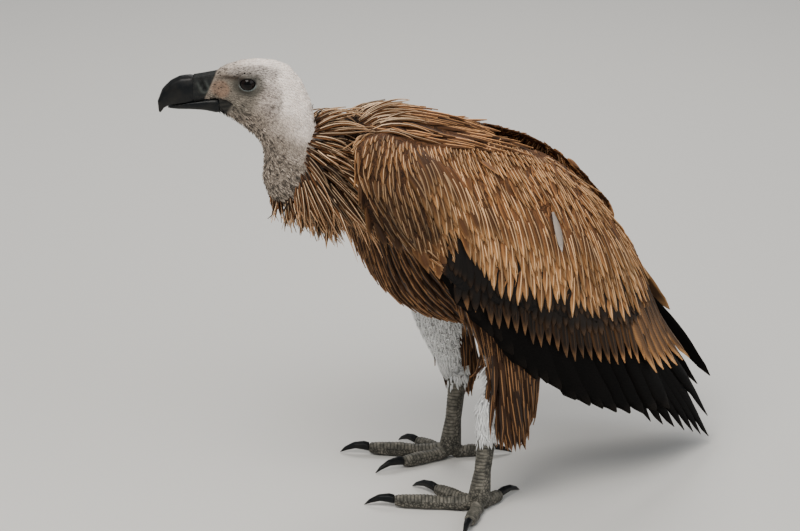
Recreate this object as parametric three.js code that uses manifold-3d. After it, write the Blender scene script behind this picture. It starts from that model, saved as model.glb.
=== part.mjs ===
// Griffon vulture, life size, standing still with its head turned to its right.
// Millimetres, +Z up. The bird faces -Y, its left side is +X and the floor is z = 0.

import * as THREE from 'three';
import { mergeVertices } from 'three/addons/utils/BufferGeometryUtils.js';
import Module from 'manifold-3d';

const wasm = await Module();
wasm.setup();

// ---- driving dimensions ----

const GAP = 0.4;                  // clearance between neighbouring pieces
const SLIVER = 0.15;              // faces thinner than this are left out after a cut
const HEAD_TURN = -28;            // degrees, to the bird's right
const HEAD_AT = [-23, -257, 515]; // middle of the skull between the eyes
const EYE_AT = [-2, 8.5];         // ahead of and above the middle of the skull
const EYE_RADIUS = 11;            // whole eyeball
const EYE_OPENING = 7.2;          // radius of the part that shows
const FOOT_LEFT = [80, -18];      // where each shank meets its toes
const FOOT_RIGHT = [-76, 30];
const SHANK_LENGTH = 108;
const WING_SLOPE = 42.4;          // degrees the folded wing falls towards its tip
const WING_ROLL = 35;             // degrees the wing's outer face looks upward
const WING_START = 440;           // distance of the shoulder ahead of the body's origin, along the wing
const RIGHT_WING_LIFT = 5;        // degrees the right wing's tip is held higher than the left
const RIGHT_WING_DROP = 12;       // its shoulder is this much lower
const COVERT_LAYER = 7;           // depth of the soft small feathers on the wing
const QUILL_LAYER = 5;            // depth of each row of long feathers
const SHOULDER_DEPTH = 46;        // depth of the wing where the arm lies in it

const radians = THREE.MathUtils.degToRad;
const point = (x, y, z) => new THREE.Vector3(x, y, z);

// ---- closed solids ----

function signedVolume(places, faces) {
  const cross = new THREE.Vector3();
  return faces.reduce((sum, [a, b, c]) => sum + places[a].dot(cross.crossVectors(places[b], places[c])), 0) / 6;
}

// A solid from its corners and faces, turned so that the faces point out.
function solidFrom(places, faces) {
  const outward = signedVolume(places, faces) > 0;
  const corners = outward ? faces : faces.map(([a, b, c]) => [a, c, b]);
  return new wasm.Manifold(new wasm.Mesh({
    numProp: 3,
    vertProperties: new Float32Array(places.flatMap((place) => place.toArray())),
    triVerts: new Uint32Array(corners.flat()),
  }));
}

function solidOf(geometry) {
  const bare = geometry.clone();
  bare.deleteAttribute('normal');
  bare.deleteAttribute('uv');
  const merged = mergeVertices(bare, 1e-4);
  return new wasm.Manifold(new wasm.Mesh({
    numProp: 3,
    vertProperties: new Float32Array(merged.attributes.position.array),
    triVerts: new Uint32Array(merged.index.array),
  }));
}

function geometryOf(solid) {
  const { vertProperties, triVerts } = solid.getMesh();
  const geometry = new THREE.BufferGeometry();
  geometry.setAttribute('position', new THREE.BufferAttribute(new Float32Array(vertProperties), 3));
  geometry.setIndex(new THREE.BufferAttribute(new Uint32Array(triVerts), 1));
  geometry.computeVertexNormals();
  return geometry;
}

// The main lump of a solid, without the crumbs and slivers that a cut leaves.
function mainLump(solid, sliver = SLIVER) {
  return solid.simplify(sliver).decompose().sort((a, b) => b.volume() - a.volume())[0];
}

const middleOf = (ring) => ring.reduce((sum, place) => sum.add(place), point(0, 0, 0)).divideScalar(ring.length);

// A closed skin over rings that all have the same number of points. grow moves its two ends out.
function skinRings(rings, grow = 0) {
  const sides = rings[0].length;
  [[0, 1], [rings.length - 1, rings.length - 2]].forEach(([end, inside]) => {
    const out = middleOf(rings[end]).sub(middleOf(rings[inside])).setLength(grow);
    rings[end].forEach((place) => place.add(out));
  });
  const places = rings.flat();
  const faces = [];
  for (let r = 0; r + 1 < rings.length; r += 1) {
    for (let s = 0; s < sides; s += 1) {
      const next = (s + 1) % sides;
      const [a, b, c, d] = [r * sides + s, r * sides + next, (r + 1) * sides + next, (r + 1) * sides + s];
      faces.push([a, b, c], [a, c, d]);
    }
  }
  const first = places.push(middleOf(rings[0])) - 1;
  const last = places.push(middleOf(rings.at(-1))) - 1;
  const lastRing = (rings.length - 1) * sides;
  for (let s = 0; s < sides; s += 1) {
    const next = (s + 1) % sides;
    faces.push([first, next, s], [last, lastRing + s, lastRing + next]);
  }
  return solidFrom(places, faces);
}

// A smooth body through oval sections. A section has two opposite points, a and b, and the
// half-width w along the side direction. steps rings are made from each section to the next.
// square below 1 makes the sides flatter, and turn starts the ring that part of a side on. What
// would reach below the floor is flat on it.
function loft(sections, { sides = 16, steps = 2, grow = 0, square = 1, turn = 0 } = {}) {
  const curveOf = (key) => new THREE.CatmullRomCurve3(sections.map((section) => section[key]), false, 'centripetal');
  const a = curveOf('a');
  const b = curveOf('b');
  const widths = new THREE.CatmullRomCurve3(sections.map(({ w }, i) => point(i, w, 0)));
  const count = (sections.length - 1) * steps;
  const rings = [];
  for (let i = 0; i <= count; i += 1) {
    const t = i / count;
    const before = sections[Math.min(Math.floor(i / steps), sections.length - 2)];
    const after = sections[sections.indexOf(before) + 1];
    const side = before.side.clone().lerp(after.side, i / steps - sections.indexOf(before)).normalize();
    const from = a.getPoint(t);
    const to = b.getPoint(t);
    const half = from.clone().sub(to).multiplyScalar(0.5);
    const centre = from.clone().add(to).multiplyScalar(0.5);
    half.setLength(half.length() + grow);
    const wide = widths.getPoint(t).y + grow;
    rings.push(Array.from({ length: sides }, (_, s) => {
      const angle = ((s + turn) / sides) * 2 * Math.PI;
      const across = Math.sign(Math.sin(angle)) * Math.abs(Math.sin(angle)) ** square;
      const place = centre.clone().addScaledVector(half, Math.cos(angle)).addScaledVector(side, wide * across);
      return place.setZ(Math.max(place.z, 0));
    }));
  }
  return skinRings(rings, grow);
}

// A round limb through [x, y, z, radius] stations. flat is its height over its width.
function limb(stations, side, { sides = 8, steps = 1, grow = 0, flat = 1, turn = 0 } = {}) {
  const spine = new THREE.CatmullRomCurve3(stations.map(([x, y, z]) => point(x, y, z)), false, 'centripetal');
  const sections = stations.map(([x, y, z, radius], i) => {
    const run = spine.getTangent(i / (stations.length - 1));
    const up = new THREE.Vector3().crossVectors(side, run).setLength(radius * flat);
    return { a: point(x, y, z).add(up), b: point(x, y, z).sub(up), w: radius, side };
  });
  return loft(sections, { sides, steps, grow, turn });
}

// One long pointed feather, or a lock of them, from its root to its tip. Its section is a flat
// triangle, so its thin edges need more room to clear a neighbour than its faces do.
function blade(root, tip, face, halfWidth, halfDepth, grow = 0) {
  const run = tip.clone().sub(root);
  const side = new THREE.Vector3().crossVectors(run, face).normalize();
  const up = new THREE.Vector3().crossVectors(side, run).normalize();
  const shape = [[0, 0.7, 1], [0.52, 0.95, 1], [1, 0.06, 0.2]];
  return skinRings(shape.map(([along, wide, deep]) => {
    const centre = root.clone().addScaledVector(run, along);
    const across = side.clone().multiplyScalar(halfWidth * wide + 6 * grow);
    const over = up.clone().multiplyScalar(halfDepth * deep + 2 * grow);
    return [across, over, across.clone().negate()].map((arm) => arm.add(centre).addScaledVector(up, -grow));
  }), grow);
}

// A value read smoothly from rows of [distance, value, value, ...].
function readRows(rows, at) {
  const last = rows.length - 1;
  const i = Math.min(Math.max(rows.findIndex((row) => row[0] > at) - 1, 0), last - 1);
  const after = at > rows[last][0] ? last - 1 : i;
  const [low, high] = [rows[after], rows[after + 1]];
  const t = THREE.MathUtils.clamp((at - low[0]) / (high[0] - low[0]), 0, 1);
  const slope = (row, k) => {
    const [before, next] = [rows[Math.max(row - 1, 0)], rows[Math.min(row + 1, last)]];
    return (next[k] - before[k]) / (next[0] - before[0]);
  };
  const reach = high[0] - low[0];
  return low.slice(1).map((value, n) => {
    const k = n + 1;
    const [m0, m1] = [slope(after, k) * reach, slope(after + 1, k) * reach];
    const [t2, t3] = [t * t, t * t * t];
    return (2 * t3 - 3 * t2 + 1) * value + (t3 - 2 * t2 + t) * m0
      + (3 * t2 - 2 * t3) * high[k] + (t3 - t2) * m1;
  });
}

// The outline of a row of feather tips along an edge. Each tip stands out by depth in the
// direction of the feathers.
function fringe(edge, count, depth, direction) {
  const curve = new THREE.SplineCurve(edge.map(([p, q]) => new THREE.Vector2(p, q)));
  const out = new THREE.Vector2(...direction).setLength(depth);
  const points = [];
  for (let i = 0; i < count; i += 1) {
    points.push(curve.getPoint(i / count));
    points.push(curve.getPoint((i + 0.42) / count).addScaledVector(out, 0.85));
    points.push(curve.getPoint((i + 0.66) / count).add(out));
  }
  points.push(curve.getPoint(1));
  return points;
}

const plain = (edge) => edge.map(([p, q]) => new THREE.Vector2(p, q));

// A curved sheet: everything between the outer and inner height inside an outline.
function sheet(outline, outer, inner, cell) {
  // Every sheet shares one lattice, so that stacked sheets stay parallel.
  const box = new THREE.Box2().setFromPoints(outline).expandByScalar(2);
  const low = [Math.floor(box.min.x / cell[0]), Math.floor(box.min.y / cell[1])];
  const [columns, rows] = [Math.ceil(box.max.x / cell[0]) - low[0], Math.ceil(box.max.y / cell[1]) - low[1]];
  const places = [];
  const faces = [];
  const index = (i, j, layer) => (layer * (columns + 1) + i) * (rows + 1) + j;
  [outer, inner].forEach((height) => {
    for (let i = 0; i <= columns; i += 1) {
      for (let j = 0; j <= rows; j += 1) {
        const p = (low[0] + i) * cell[0];
        const q = (low[1] + j) * cell[1];
        places.push(point(p, q, height(p, q)));
      }
    }
  });
  for (let i = 0; i < columns; i += 1) {
    for (let j = 0; j < rows; j += 1) {
      const [a, b, c, d] = [[i, j], [i + 1, j], [i + 1, j + 1], [i, j + 1]];
      faces.push([index(...a, 0), index(...b, 0), index(...c, 0)], [index(...a, 0), index(...c, 0), index(...d, 0)]);
      faces.push([index(...a, 1), index(...c, 1), index(...b, 1)], [index(...a, 1), index(...d, 1), index(...c, 1)]);
    }
  }
  const wall = (i, j, k, l) => {
    faces.push([index(i, j, 0), index(i, j, 1), index(k, l, 1)], [index(i, j, 0), index(k, l, 1), index(k, l, 0)]);
  };
  for (let i = 0; i < columns; i += 1) {
    wall(i, 0, i + 1, 0);
    wall(i + 1, rows, i, rows);
  }
  for (let j = 0; j < rows; j += 1) {
    wall(columns, j, columns, j + 1);
    wall(0, j + 1, 0, j);
  }
  const prism = new THREE.ExtrudeGeometry(new THREE.Shape(outline), { depth: 900, bevelEnabled: false });
  prism.translate(0, 0, -300);
  return solidFrom(places, faces).intersect(solidOf(prism));
}

const mirrored = (solid) => solid.mirror([1, 0, 0]);

// ---- trunk ----

const SIDEWAYS = point(1, 0, 0);
const TRUNK_SECTIONS = [
  // back y, z; belly y, z; half-width
  [-150, 452, -150, 398, 26],
  [-140, 470, -142, 362, 54],
  [-108, 480, -122, 307, 84],
  [-60, 472, -95, 256, 101],
  [-5, 452, -46, 221, 107],
  [50, 420, 5, 205, 103],
  [102, 383, 58, 202, 91],
  [148, 344, 105, 206, 71],
  [184, 308, 148, 214, 46],
  [206, 280, 182, 232, 20],
];

function trunkSolid(grow = 0) {
  const sections = TRUNK_SECTIONS.map(([topY, topZ, lowY, lowZ, w]) => (
    { a: point(0, topY, topZ), b: point(0, lowY, lowZ), w, side: SIDEWAYS }));
  return loft(sections, { sides: 14, steps: 2, grow });
}

const trunk = trunkSolid();
const roundTrunk = trunkSolid(GAP);

// ---- head and neck, one body parted by thin cuts ----

const headFrame = new THREE.Matrix4().makeRotationZ(radians(HEAD_TURN)).setPosition(...HEAD_AT);
const HEAD_SIDE = SIDEWAYS.clone().transformDirection(headFrame);
const inHead = (ahead, up, side = 0) => point(side, -ahead, up).applyMatrix4(headFrame);

const HEAD_SECTIONS = [
  // top ahead, up; bottom ahead, up; half-width
  [36, 17.5, 36, -27, 12.5],
  [21, 25.5, 24, -33, 16.5],
  [5, 30, 12, -40, 22],
  [-12, 31.5, 1, -48, 26],
  [-30, 30, -7, -55, 28],
  [-46, 24, -13, -62, 28.5],
  [-60, 7, -17, -70, 28],
  [-70, -16, -18, -80, 27],
  [-74, -37, -17, -92, 26.5],
];

const NECK_SECTIONS = [
  // nape x, y, z; throat x, y, z; half-width; turn of the section, degrees
  [9, -186, 462, -16, -243, 408, 26.5, -22],
  [6, -176, 454, -12, -237, 388, 29, -14],
  [3, -160, 452, -6, -215, 371, 34, -6],
  [1, -138, 448, -2, -180, 358, 40, 0],
];

function headAndNeckSolid(grow = 0) {
  const head = HEAD_SECTIONS.map(([topAhead, topUp, lowAhead, lowUp, w]) => (
    { a: inHead(topAhead, topUp), b: inHead(lowAhead, lowUp), w, side: HEAD_SIDE }));
  const neck = NECK_SECTIONS.map(([x, y, z, lowX, lowY, lowZ, w, turn]) => (
    { a: point(x, y, z), b: point(lowX, lowY, lowZ), w, side: SIDEWAYS.clone().applyAxisAngle(point(0, 0, 1), radians(turn)) }));
  return loft([...head, ...neck], { sides: 16, steps: 1, grow });
}

// The two sides of a solid at a plane, with the gap between them.
function part(solid, on, normal) {
  const n = normal.clone().normalize();
  const offset = n.dot(on);
  return [solid.trimByPlane(n.toArray(), offset + GAP / 2), solid.trimByPlane(n.clone().negate().toArray(), -offset + GAP / 2)];
}

const FACE_FRONT = 31;
const forward = inHead(1, 0).sub(inHead(0, 0));
const skullEnd = inHead(-45, -65);
const neckMiddle = point(-3, -207, 421);
const faced = headAndNeckSolid().trimByPlane(forward.clone().negate().toArray(), -forward.dot(inHead(FACE_FRONT, 0)));
const [headLump, neckLump] = part(faced, skullEnd, inHead(10, 80).sub(inHead(0, 0)));
const [neckUpper, neckRoot] = part(neckLump, neckMiddle, point(-0.3, -0.55, 0.8));
const neckLower = neckRoot.subtract(roundTrunk);
const roundNeck = headAndNeckSolid(GAP);

// ---- eyes ----

const eyeSide = 25 - Math.sqrt(EYE_RADIUS ** 2 - EYE_OPENING ** 2);

function eyeSolid(side, grow = 0) {
  const ball = new THREE.SphereGeometry(EYE_RADIUS + grow, 10, 7);
  const centre = inHead(EYE_AT[0], EYE_AT[1], side * eyeSide);
  return solidOf(ball.translate(...centre));
}

const eyes = { left: eyeSolid(1), right: eyeSolid(-1) };
const sockets = eyeSolid(1, GAP).add(eyeSolid(-1, GAP));

// ---- bill: horny upper and lower halves and the bare cere over the nostrils ----

const UPPER_BILL = [
  // culmen ahead, up; cutting edge ahead, up; half-width
  [FACE_FRONT + GAP, 19, FACE_FRONT + GAP, -15, 13],
  [48, 16, 46, -17, 12],
  [60, 14, 57, -20, 11],
  [73, 12.5, 69, -22, 10],
  [84, 7, 78, -22.5, 8.5],
  [93, -3, 86, -23, 6.5],
  [98.5, -17, 91, -25, 4],
  [97.5, -30, 95, -30.5, 1.2],
];
const LOWER_BILL = [
  [FACE_FRONT + GAP, -9, FACE_FRONT + GAP, -31, 11],
  [47, -10, 47, -27.5, 10.5],
  [62, -12, 62, -26.5, 9.5],
  [77, -14, 77, -26.5, 7],
  [90, -18, 88, -25.5, 3],
];

function billSolid(rows, grow = 0) {
  const sections = rows.map(([topAhead, topUp, lowAhead, lowUp, w]) => (
    { a: inHead(topAhead, topUp), b: inHead(lowAhead, lowUp), w, side: HEAD_SIDE }));
  return loft(sections, { sides: 10, steps: 1, grow, square: 0.7 });
}

const nostril = (side) => {
  const hole = new THREE.SphereGeometry(1, 7, 5).scale(4.5, 2.2, 6).rotateX(radians(-22)).rotateZ(radians(HEAD_TURN));
  return solidOf(hole.translate(...inHead(49, 4, side * 13)));
};
const [hornyUpper, cereLump] = part(billSolid(UPPER_BILL), inHead(59, 0), forward);
const cere = cereLump.subtract(nostril(1)).subtract(nostril(-1));
const lowerBill = billSolid(LOWER_BILL).subtract(billSolid(UPPER_BILL, GAP));
const head = headLump.subtract(sockets);

// ---- ruff: a collar of long pointed feathers round the foot of the neck ----

const RUFF_MIDDLE = point(0, -186, 424);
const RUFF_UP = point(0, 0.32, 0.95).normalize();
const RUFF_AHEAD = point(0, -0.95, 0.32).normalize();
const RUFF_COUNT = 10;
const RUFF_TALL = 1.35;     // the neck is taller than wide where the ruff starts
const RUFF_ROWS = [
  // ring radius, how far it sets back, feather length below and at the side, how far they lean back
  { radius: 31, back: -18, low: 18, side: 60, lean: 0.7 },
  { radius: 38, back: 0, low: 22, side: 82, lean: 1.05 },
  { radius: 45, back: 18, low: 22, side: 92, lean: 1.45 },
];

const ruffPlace = (angle, reach, back) => RUFF_MIDDLE.clone()
  .addScaledVector(RUFF_UP, Math.cos(angle) * reach * RUFF_TALL)
  .addScaledVector(SIDEWAYS, Math.sin(angle) * reach)
  .addScaledVector(RUFF_AHEAD, -back);

const ruffAngles = Array.from({ length: 2 * RUFF_COUNT }, (_, i) => (i / RUFF_COUNT) * Math.PI);

// One ring of pointed feathers. Every second point of the ring is a feather's tip, and the
// others are the hollows between two feathers.
function ruffRing({ radius, back, low, side, lean }, row) {
  return ruffAngles.map((angle, i) => {
    const hollow = ruffPlace(angle, radius + 5, back + 4);
    if ((i + row) % 2 === 1) return hollow;
    const outward = hollow.clone().sub(ruffPlace(angle, 0, back + 4)).normalize();
    const below = Math.max(-Math.cos(angle), 0);
    const above = Math.max(Math.cos(angle), 0);
    const length = low + (side - low) * Math.abs(Math.sin(angle)) + 7 * Math.sin(i * 1.7 + row);
    // The feathers below hang forward, the others are swept back over the shoulders.
    const sweep = point(0, lean - 1.55 * below, -0.22);
    return hollow.add(outward.multiplyScalar(0.75 - 0.45 * above).add(sweep).setLength(length));
  });
}

const ringOf = (radius, back) => ruffAngles.map((angle) => ruffPlace(angle, radius, back));

function ruffSolid() {
  const rings = [ringOf(27, -27)];
  RUFF_ROWS.forEach((spec, row) => rings.push(ruffRing(spec, row), ringOf(spec.radius + 3, spec.back + 11)));
  return skinRings(rings);
}

// ---- legs ----

const FEET = {
  // out is the sign of the side; headings in degrees from straight ahead to the bird's right
  left: { at: FOOT_LEFT, out: 1, heel: 12, headings: { middle: 34, inner: 70, outer: -48, hind: 158 } },
  right: { at: FOOT_RIGHT, out: -1, heel: 14, headings: { middle: 34, inner: -2, outer: 68, hind: 198 } },
};
const THIGH_SECTIONS = [
  // height, front, back, middle across, half-width
  [288, -56, 48, 68, 26],
  [245, -42, 64, 77, 37],
  [205, -26, 68, 83, 37],
  [168, -16, 60, 86, 32],
  [132, -11, 52, 87, 26],
  [104, -6, 44, 87, 20],
  [88, 4, 34, 87, 12],
];
const KNEE_HEIGHT = 178;
const TROUSER_LOCKS = [
  // angle round the leg from the front, height of the tip
  [-100, 82], [60, 82], [130, 75],
];

function legPlaces({ at: [x, y], out, heel }) {
  const foot = point(x, y, 17);
  const rise = Math.sqrt(SHANK_LENGTH ** 2 - heel ** 2);
  return { foot, ankle: point(x + out * 3, y + heel, 17 + rise), out };
}

function thighSolid({ out, at: [, y] }, grow = 0) {
  // Both legs hang from the same place in the body, and the lower end follows the foot.
  const drift = (height) => (y - FOOT_LEFT[1]) * THREE.MathUtils.clamp((KNEE_HEIGHT - height) / 120, 0, 0.6);
  const sections = THIGH_SECTIONS.map(([height, front, back, across, w]) => ({
    a: point(out * across, front + drift(height), height),
    b: point(out * across, back + drift(height), height),
    w,
    side: SIDEWAYS,
  }));
  const locks = TROUSER_LOCKS.map(([degrees, low]) => {
    const outward = point(out * Math.sin(radians(degrees)), -Math.cos(radians(degrees)), 0);
    const root = point(out * 87, 17 + drift(132), 132).addScaledVector(outward, 19);
    const tip = point(out * 88, 17 + drift(low), low).addScaledVector(outward, 16);
    return blade(root, tip, outward, 12, 4, grow);
  });
  return locks.reduce((thigh, lock) => thigh.add(lock), loft(sections, { sides: 10, steps: 1, grow }));
}

function shankSolid(spec, grow = 0) {
  const { foot, ankle } = legPlaces(spec);
  const stations = [[1.14, 13], [1, 16], [0.8, 13.5], [0.6, 9.8], [0.3, 9.2], [0, 12.5], [-0.07, 9]]
    .map(([along, radius]) => [...foot.clone().lerp(ankle, along).toArray(), radius]);
  return limb(stations, SIDEWAYS, { sides: 10, grow, flat: 1.1 });
}

const TOES = [
  { name: 'middle', length: 98, claw: 36, radius: 9.2 },
  { name: 'inner', length: 66, claw: 38, radius: 8.8 },
  { name: 'outer', length: 52, claw: 30, radius: 8.2 },
  { name: 'hind', length: 38, claw: 38, radius: 8.4 },
];

const toeRun = ({ headings }, { name }) => (
  point(-Math.sin(radians(headings[name])), -Math.cos(radians(headings[name])), 0));

// shape has rows of distance from the shank, height and radius.
function toePiece(spec, toe, shape, options) {
  const run = toeRun(spec, toe);
  const stations = shape.map(([along, height, radius]) => (
    [...point(...spec.at, height).addScaledVector(run, along).toArray(), radius]));
  return limb(stations, point(-run.y, run.x, 0), options);
}

// The toes are flat underneath, at the floor, from the foot's joint to the claw.
function toeSolid(spec, toe, grow = 0) {
  const shape = [[0, 1.4, 0.9], [0.22, 0.8, 1.02], [0.42, 0.78, 0.88], [0.62, 0.8, 1.02], [0.88, 0.8, 0.94], [1.05, 0.95, 0.6]];
  const rows = shape.map(([t, height, girth]) => [t * toe.length, height * toe.radius, girth * toe.radius]);
  return toePiece(spec, toe, rows, { sides: 8, grow, turn: 0.5 });
}

function clawSolid(spec, toe) {
  const shape = [[-0.1, 0.95, 0.58], [0.2, 1.2, 0.6], [0.5, 1.15, 0.46], [0.8, 0.66, 0.29], [1, 0.1, 0.07]];
  const rows = shape.map(([t, height, girth]) => [toe.length + t * toe.claw, height * toe.radius, girth * toe.radius]);
  return toePiece(spec, toe, rows, { sides: 6, flat: 1.1 });
}

// A toe and its claw end in flat faces with the gap between them.
function toeAndClaw(spec, toe) {
  const run = toeRun(spec, toe);
  const joint = run.dot(point(...spec.at, 0)) + toe.length;
  return {
    toe: toeSolid(spec, toe).trimByPlane(run.clone().negate().toArray(), -joint),
    claw: clawSolid(spec, toe).trimByPlane(run.toArray(), joint + GAP),
  };
}

// ---- tail: a closed fan of twelve stiff feathers ----

const TAIL_ROOT = 362;       // distances along the wing's line, as for the wings
const TAIL_TIP = 628;
const TAIL_FEATHERS = 11;

const slopeFrame = (roll) => {
  const along = point(0, Math.cos(radians(WING_SLOPE)), -Math.sin(radians(WING_SLOPE)));
  const above = point(0, Math.sin(radians(WING_SLOPE)), Math.cos(radians(WING_SLOPE)));
  const out = SIDEWAYS.clone().multiplyScalar(Math.cos(radians(roll))).addScaledVector(above, Math.sin(radians(roll)));
  const across = above.clone().multiplyScalar(Math.cos(radians(roll))).addScaledVector(SIDEWAYS, -Math.sin(radians(roll)));
  return new THREE.Matrix4().makeBasis(along, across, out).setPosition(along.clone().multiplyScalar(-WING_START));
};

function tailSolid() {
  const outline = [
    ...plain([[TAIL_ROOT, 20], [TAIL_ROOT, -20], [TAIL_ROOT + 90, -34]]),
    ...fringe([[TAIL_TIP - 34, -50], [TAIL_TIP - 4, -26], [TAIL_TIP, 0], [TAIL_TIP - 4, 26], [TAIL_TIP - 34, 50]],
      TAIL_FEATHERS, 13, [1, 0]),
    ...plain([[TAIL_ROOT + 90, 34]]),
  ];
  const crown = (p, q) => 268 - 0.075 * (p - TAIL_ROOT) - 0.0105 * q * q;
  const depth = (p) => THREE.MathUtils.mapLinear(p, TAIL_ROOT, TAIL_TIP, 16, 4);
  return sheet(outline, crown, (p, q) => crown(p, q) - depth(p), [90, 20]);
}

const slopeFrameSolid = (solid, frame) => solid.transform(frame.toArray());

// ---- wings: four overlapping rows of feathers, each under the row before ----

const WING_CREST = [
  // along the wing; height of the crest, where it lies across, how fast it falls away
  [0, 204, 112, 0.0075],
  [40, 223, 116, 0.0066],
  [120, 252, 150, 0.0051],
  [260, 274, 184, 0.0042],
  [400, 252, 190, 0.0037],
  [520, 216, 176, 0.0028],
  [600, 199, 180, 0.0021],
  [670, 178, 165, 0.002],
];
const FEATHER_LINE = [0.93, -0.37];
const WING_CELL = [60, 32];

function wingTop(p, q) {
  const [height, crest, fall] = readRows(WING_CREST, p);
  return height - fall * (q - crest) ** 2;
}

const WING_ROWS = {
  coverts: {
    outline: () => [
      ...plain([[256, 287], [196, 271], [128, 240], [70, 211], [12, 168], [2, 138], [14, 108], [40, 86], [84, 68], [122, 61]]),
      ...fringe([[155, 58], [215, 72], [277, 92], [344, 121], [400, 152], [432, 192], [440, 230], [428, 256]], 10, 16, FEATHER_LINE),
      ...plain([[392, 277], [330, 286]]),
    ],
    outer: 0,
    depth: (p) => COVERT_LAYER + (SHOULDER_DEPTH - COVERT_LAYER) * THREE.MathUtils.smoothstep(118 - p, 0, 56)
      * THREE.MathUtils.smoothstep(p, -40, 60),
  },
  greater_coverts: {
    outline: () => [
      ...plain([[500, 236], [430, 225], [380, 195], [330, 165], [270, 138], [200, 110], [168, 86]]),
      ...fringe([[186, 62], [250, 68], [322, 82], [390, 104], [448, 134], [500, 170], [524, 208]], 10, 17, FEATHER_LINE),
    ],
    outer: COVERT_LAYER + GAP * 1.6,
    depth: () => QUILL_LAYER,
  },
  secondaries: {
    outline: () => [
      ...plain([[560, 214], [500, 206], [430, 172], [350, 128], [260, 108], [196, 98]]),
      ...fringe([[196, 66], [240, 62], [300, 62], [360, 66], [420, 74], [474, 86], [516, 106], [550, 140]], 11, 18, [0.96, -0.28]),
    ],
    outer: COVERT_LAYER + QUILL_LAYER + GAP * 3.2,
    depth: () => QUILL_LAYER,
  },
  primaries: {
    outline: () => [
      ...plain([[594, 210], [519, 230], [452, 232], [420, 200], [430, 146], [486, 112]]),
      ...fringe([[530, 112], [576, 133], [618, 152], [652, 164], [640, 188]], 6, 22, [0.97, -0.16]),
    ],
    outer: COVERT_LAYER + 2 * QUILL_LAYER + GAP * 4.8,
    depth: (p) => THREE.MathUtils.mapLinear(p, 420, 670, 7, 3),
  },
};

const shoulder = point(0, -150, 455);
const wingFrame = slopeFrame(WING_ROLL);
const liftRight = new THREE.Matrix4().makeTranslation(shoulder.clone().setZ(shoulder.z - RIGHT_WING_DROP))
  .multiply(new THREE.Matrix4().makeRotationX(radians(RIGHT_WING_LIFT)))
  .multiply(new THREE.Matrix4().makeTranslation(shoulder.clone().negate()));

function wingRow({ outline, outer, depth }, side, grow = 0) {
  const top = (p, q) => wingTop(p, q) - outer + grow;
  const edge = outline();
  const middle = new THREE.Box2().setFromPoints(edge).getCenter(new THREE.Vector2());
  edge.forEach((place) => place.sub(middle).multiplyScalar(1 + grow / 100).add(middle));
  const row = slopeFrameSolid(sheet(edge, top, (p, q) => top(p, q) - depth(p) - 2 * grow, WING_CELL), wingFrame);
  return side === 'left' ? row : mirrored(row).transform(liftRight.toArray());
}

// ---- colours ----

const finish = (color, roughness, metalness = 0) => new THREE.MeshStandardMaterial({ color, roughness, metalness, flatShading: true });
const FINISHES = {
  down: finish('#cfc3b4', 0.9),
  neck: finish('#a99c90', 0.85),
  ruff: finish('#a9713f', 0.8),
  body: finish('#6b4a2f', 0.85),
  covert: finish('#a2764a', 0.8),
  greater: finish('#4a382a', 0.75),
  quill: finish('#241d18', 0.65),
  shank: finish('#8b8378', 0.75),
  horn: finish('#23211f', 0.4),
  cere: finish('#4c4a46', 0.55),
  eye: finish('#15110f', 0.08),
};

// ---- assembly ----

const vulture = new THREE.Group();

function addPiece(name, solid, material) {
  const mesh = new THREE.Mesh(geometryOf(mainLump(solid)), material);
  mesh.name = name;
  vulture.add(mesh);
}

addPiece('head', head, FINISHES.down);
addPiece('neck_upper', neckUpper, FINISHES.neck);
addPiece('neck_lower', neckLower, FINISHES.neck);
addPiece('eye_left', eyes.left, FINISHES.eye);
addPiece('eye_right', eyes.right, FINISHES.eye);
addPiece('cere', cere, FINISHES.cere);
addPiece('bill_upper', hornyUpper, FINISHES.horn);
addPiece('bill_lower', lowerBill, FINISHES.horn);
const ruffCut = wingRow(WING_ROWS.coverts, 'left', GAP).add(wingRow(WING_ROWS.coverts, 'right', GAP)).add(roundNeck).add(roundTrunk);
addPiece('ruff', mainLump(ruffSolid().subtract(ruffCut), 2 * SLIVER), FINISHES.ruff);
addPiece('trunk', trunk, FINISHES.body);

const tail = slopeFrameSolid(tailSolid(), slopeFrame(90)).subtract(roundTrunk);
addPiece('tail', tail, FINISHES.quill);

const rowFinish = { coverts: 'covert', greater_coverts: 'greater', secondaries: 'quill', primaries: 'quill' };

Object.entries(FEET).forEach(([side, spec]) => {
  const thigh = thighSolid(spec).subtract(roundTrunk);
  const roundThigh = thighSolid(spec, GAP);
  addPiece(`thigh_${side}`, thigh, FINISHES.body);
  addPiece(`shank_${side}`, shankSolid(spec).subtract(roundThigh), FINISHES.shank);
  let taken = shankSolid(spec, GAP);
  TOES.forEach((toe) => {
    const pieces = toeAndClaw(spec, toe);
    addPiece(`toe_${toe.name}_${side}`, pieces.toe.subtract(taken), FINISHES.shank);
    addPiece(`claw_${toe.name}_${side}`, pieces.claw, FINISHES.horn);
    taken = taken.add(toeSolid(spec, toe, GAP));
  });
  Object.entries(WING_ROWS).forEach(([row, shape]) => {
    const feathers = wingRow(shape, side).subtract(roundTrunk).subtract(roundThigh);
    addPiece(`wing_${side}_${row}`, feathers, FINISHES[rowFinish[row]]);
  });
});

// The origin is on the floor, under the middle of the bird's box.
const bounds = new THREE.Box3().setFromObject(vulture, true);
const middle = bounds.getCenter(new THREE.Vector3());
vulture.position.set(-middle.x, -middle.y, 0);

export default vulture;
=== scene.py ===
import math

import bmesh
import bpy
import numpy as np
from mathutils import Matrix, Vector
from mathutils.bvhtree import BVHTree
from mathutils.kdtree import KDTree


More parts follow.
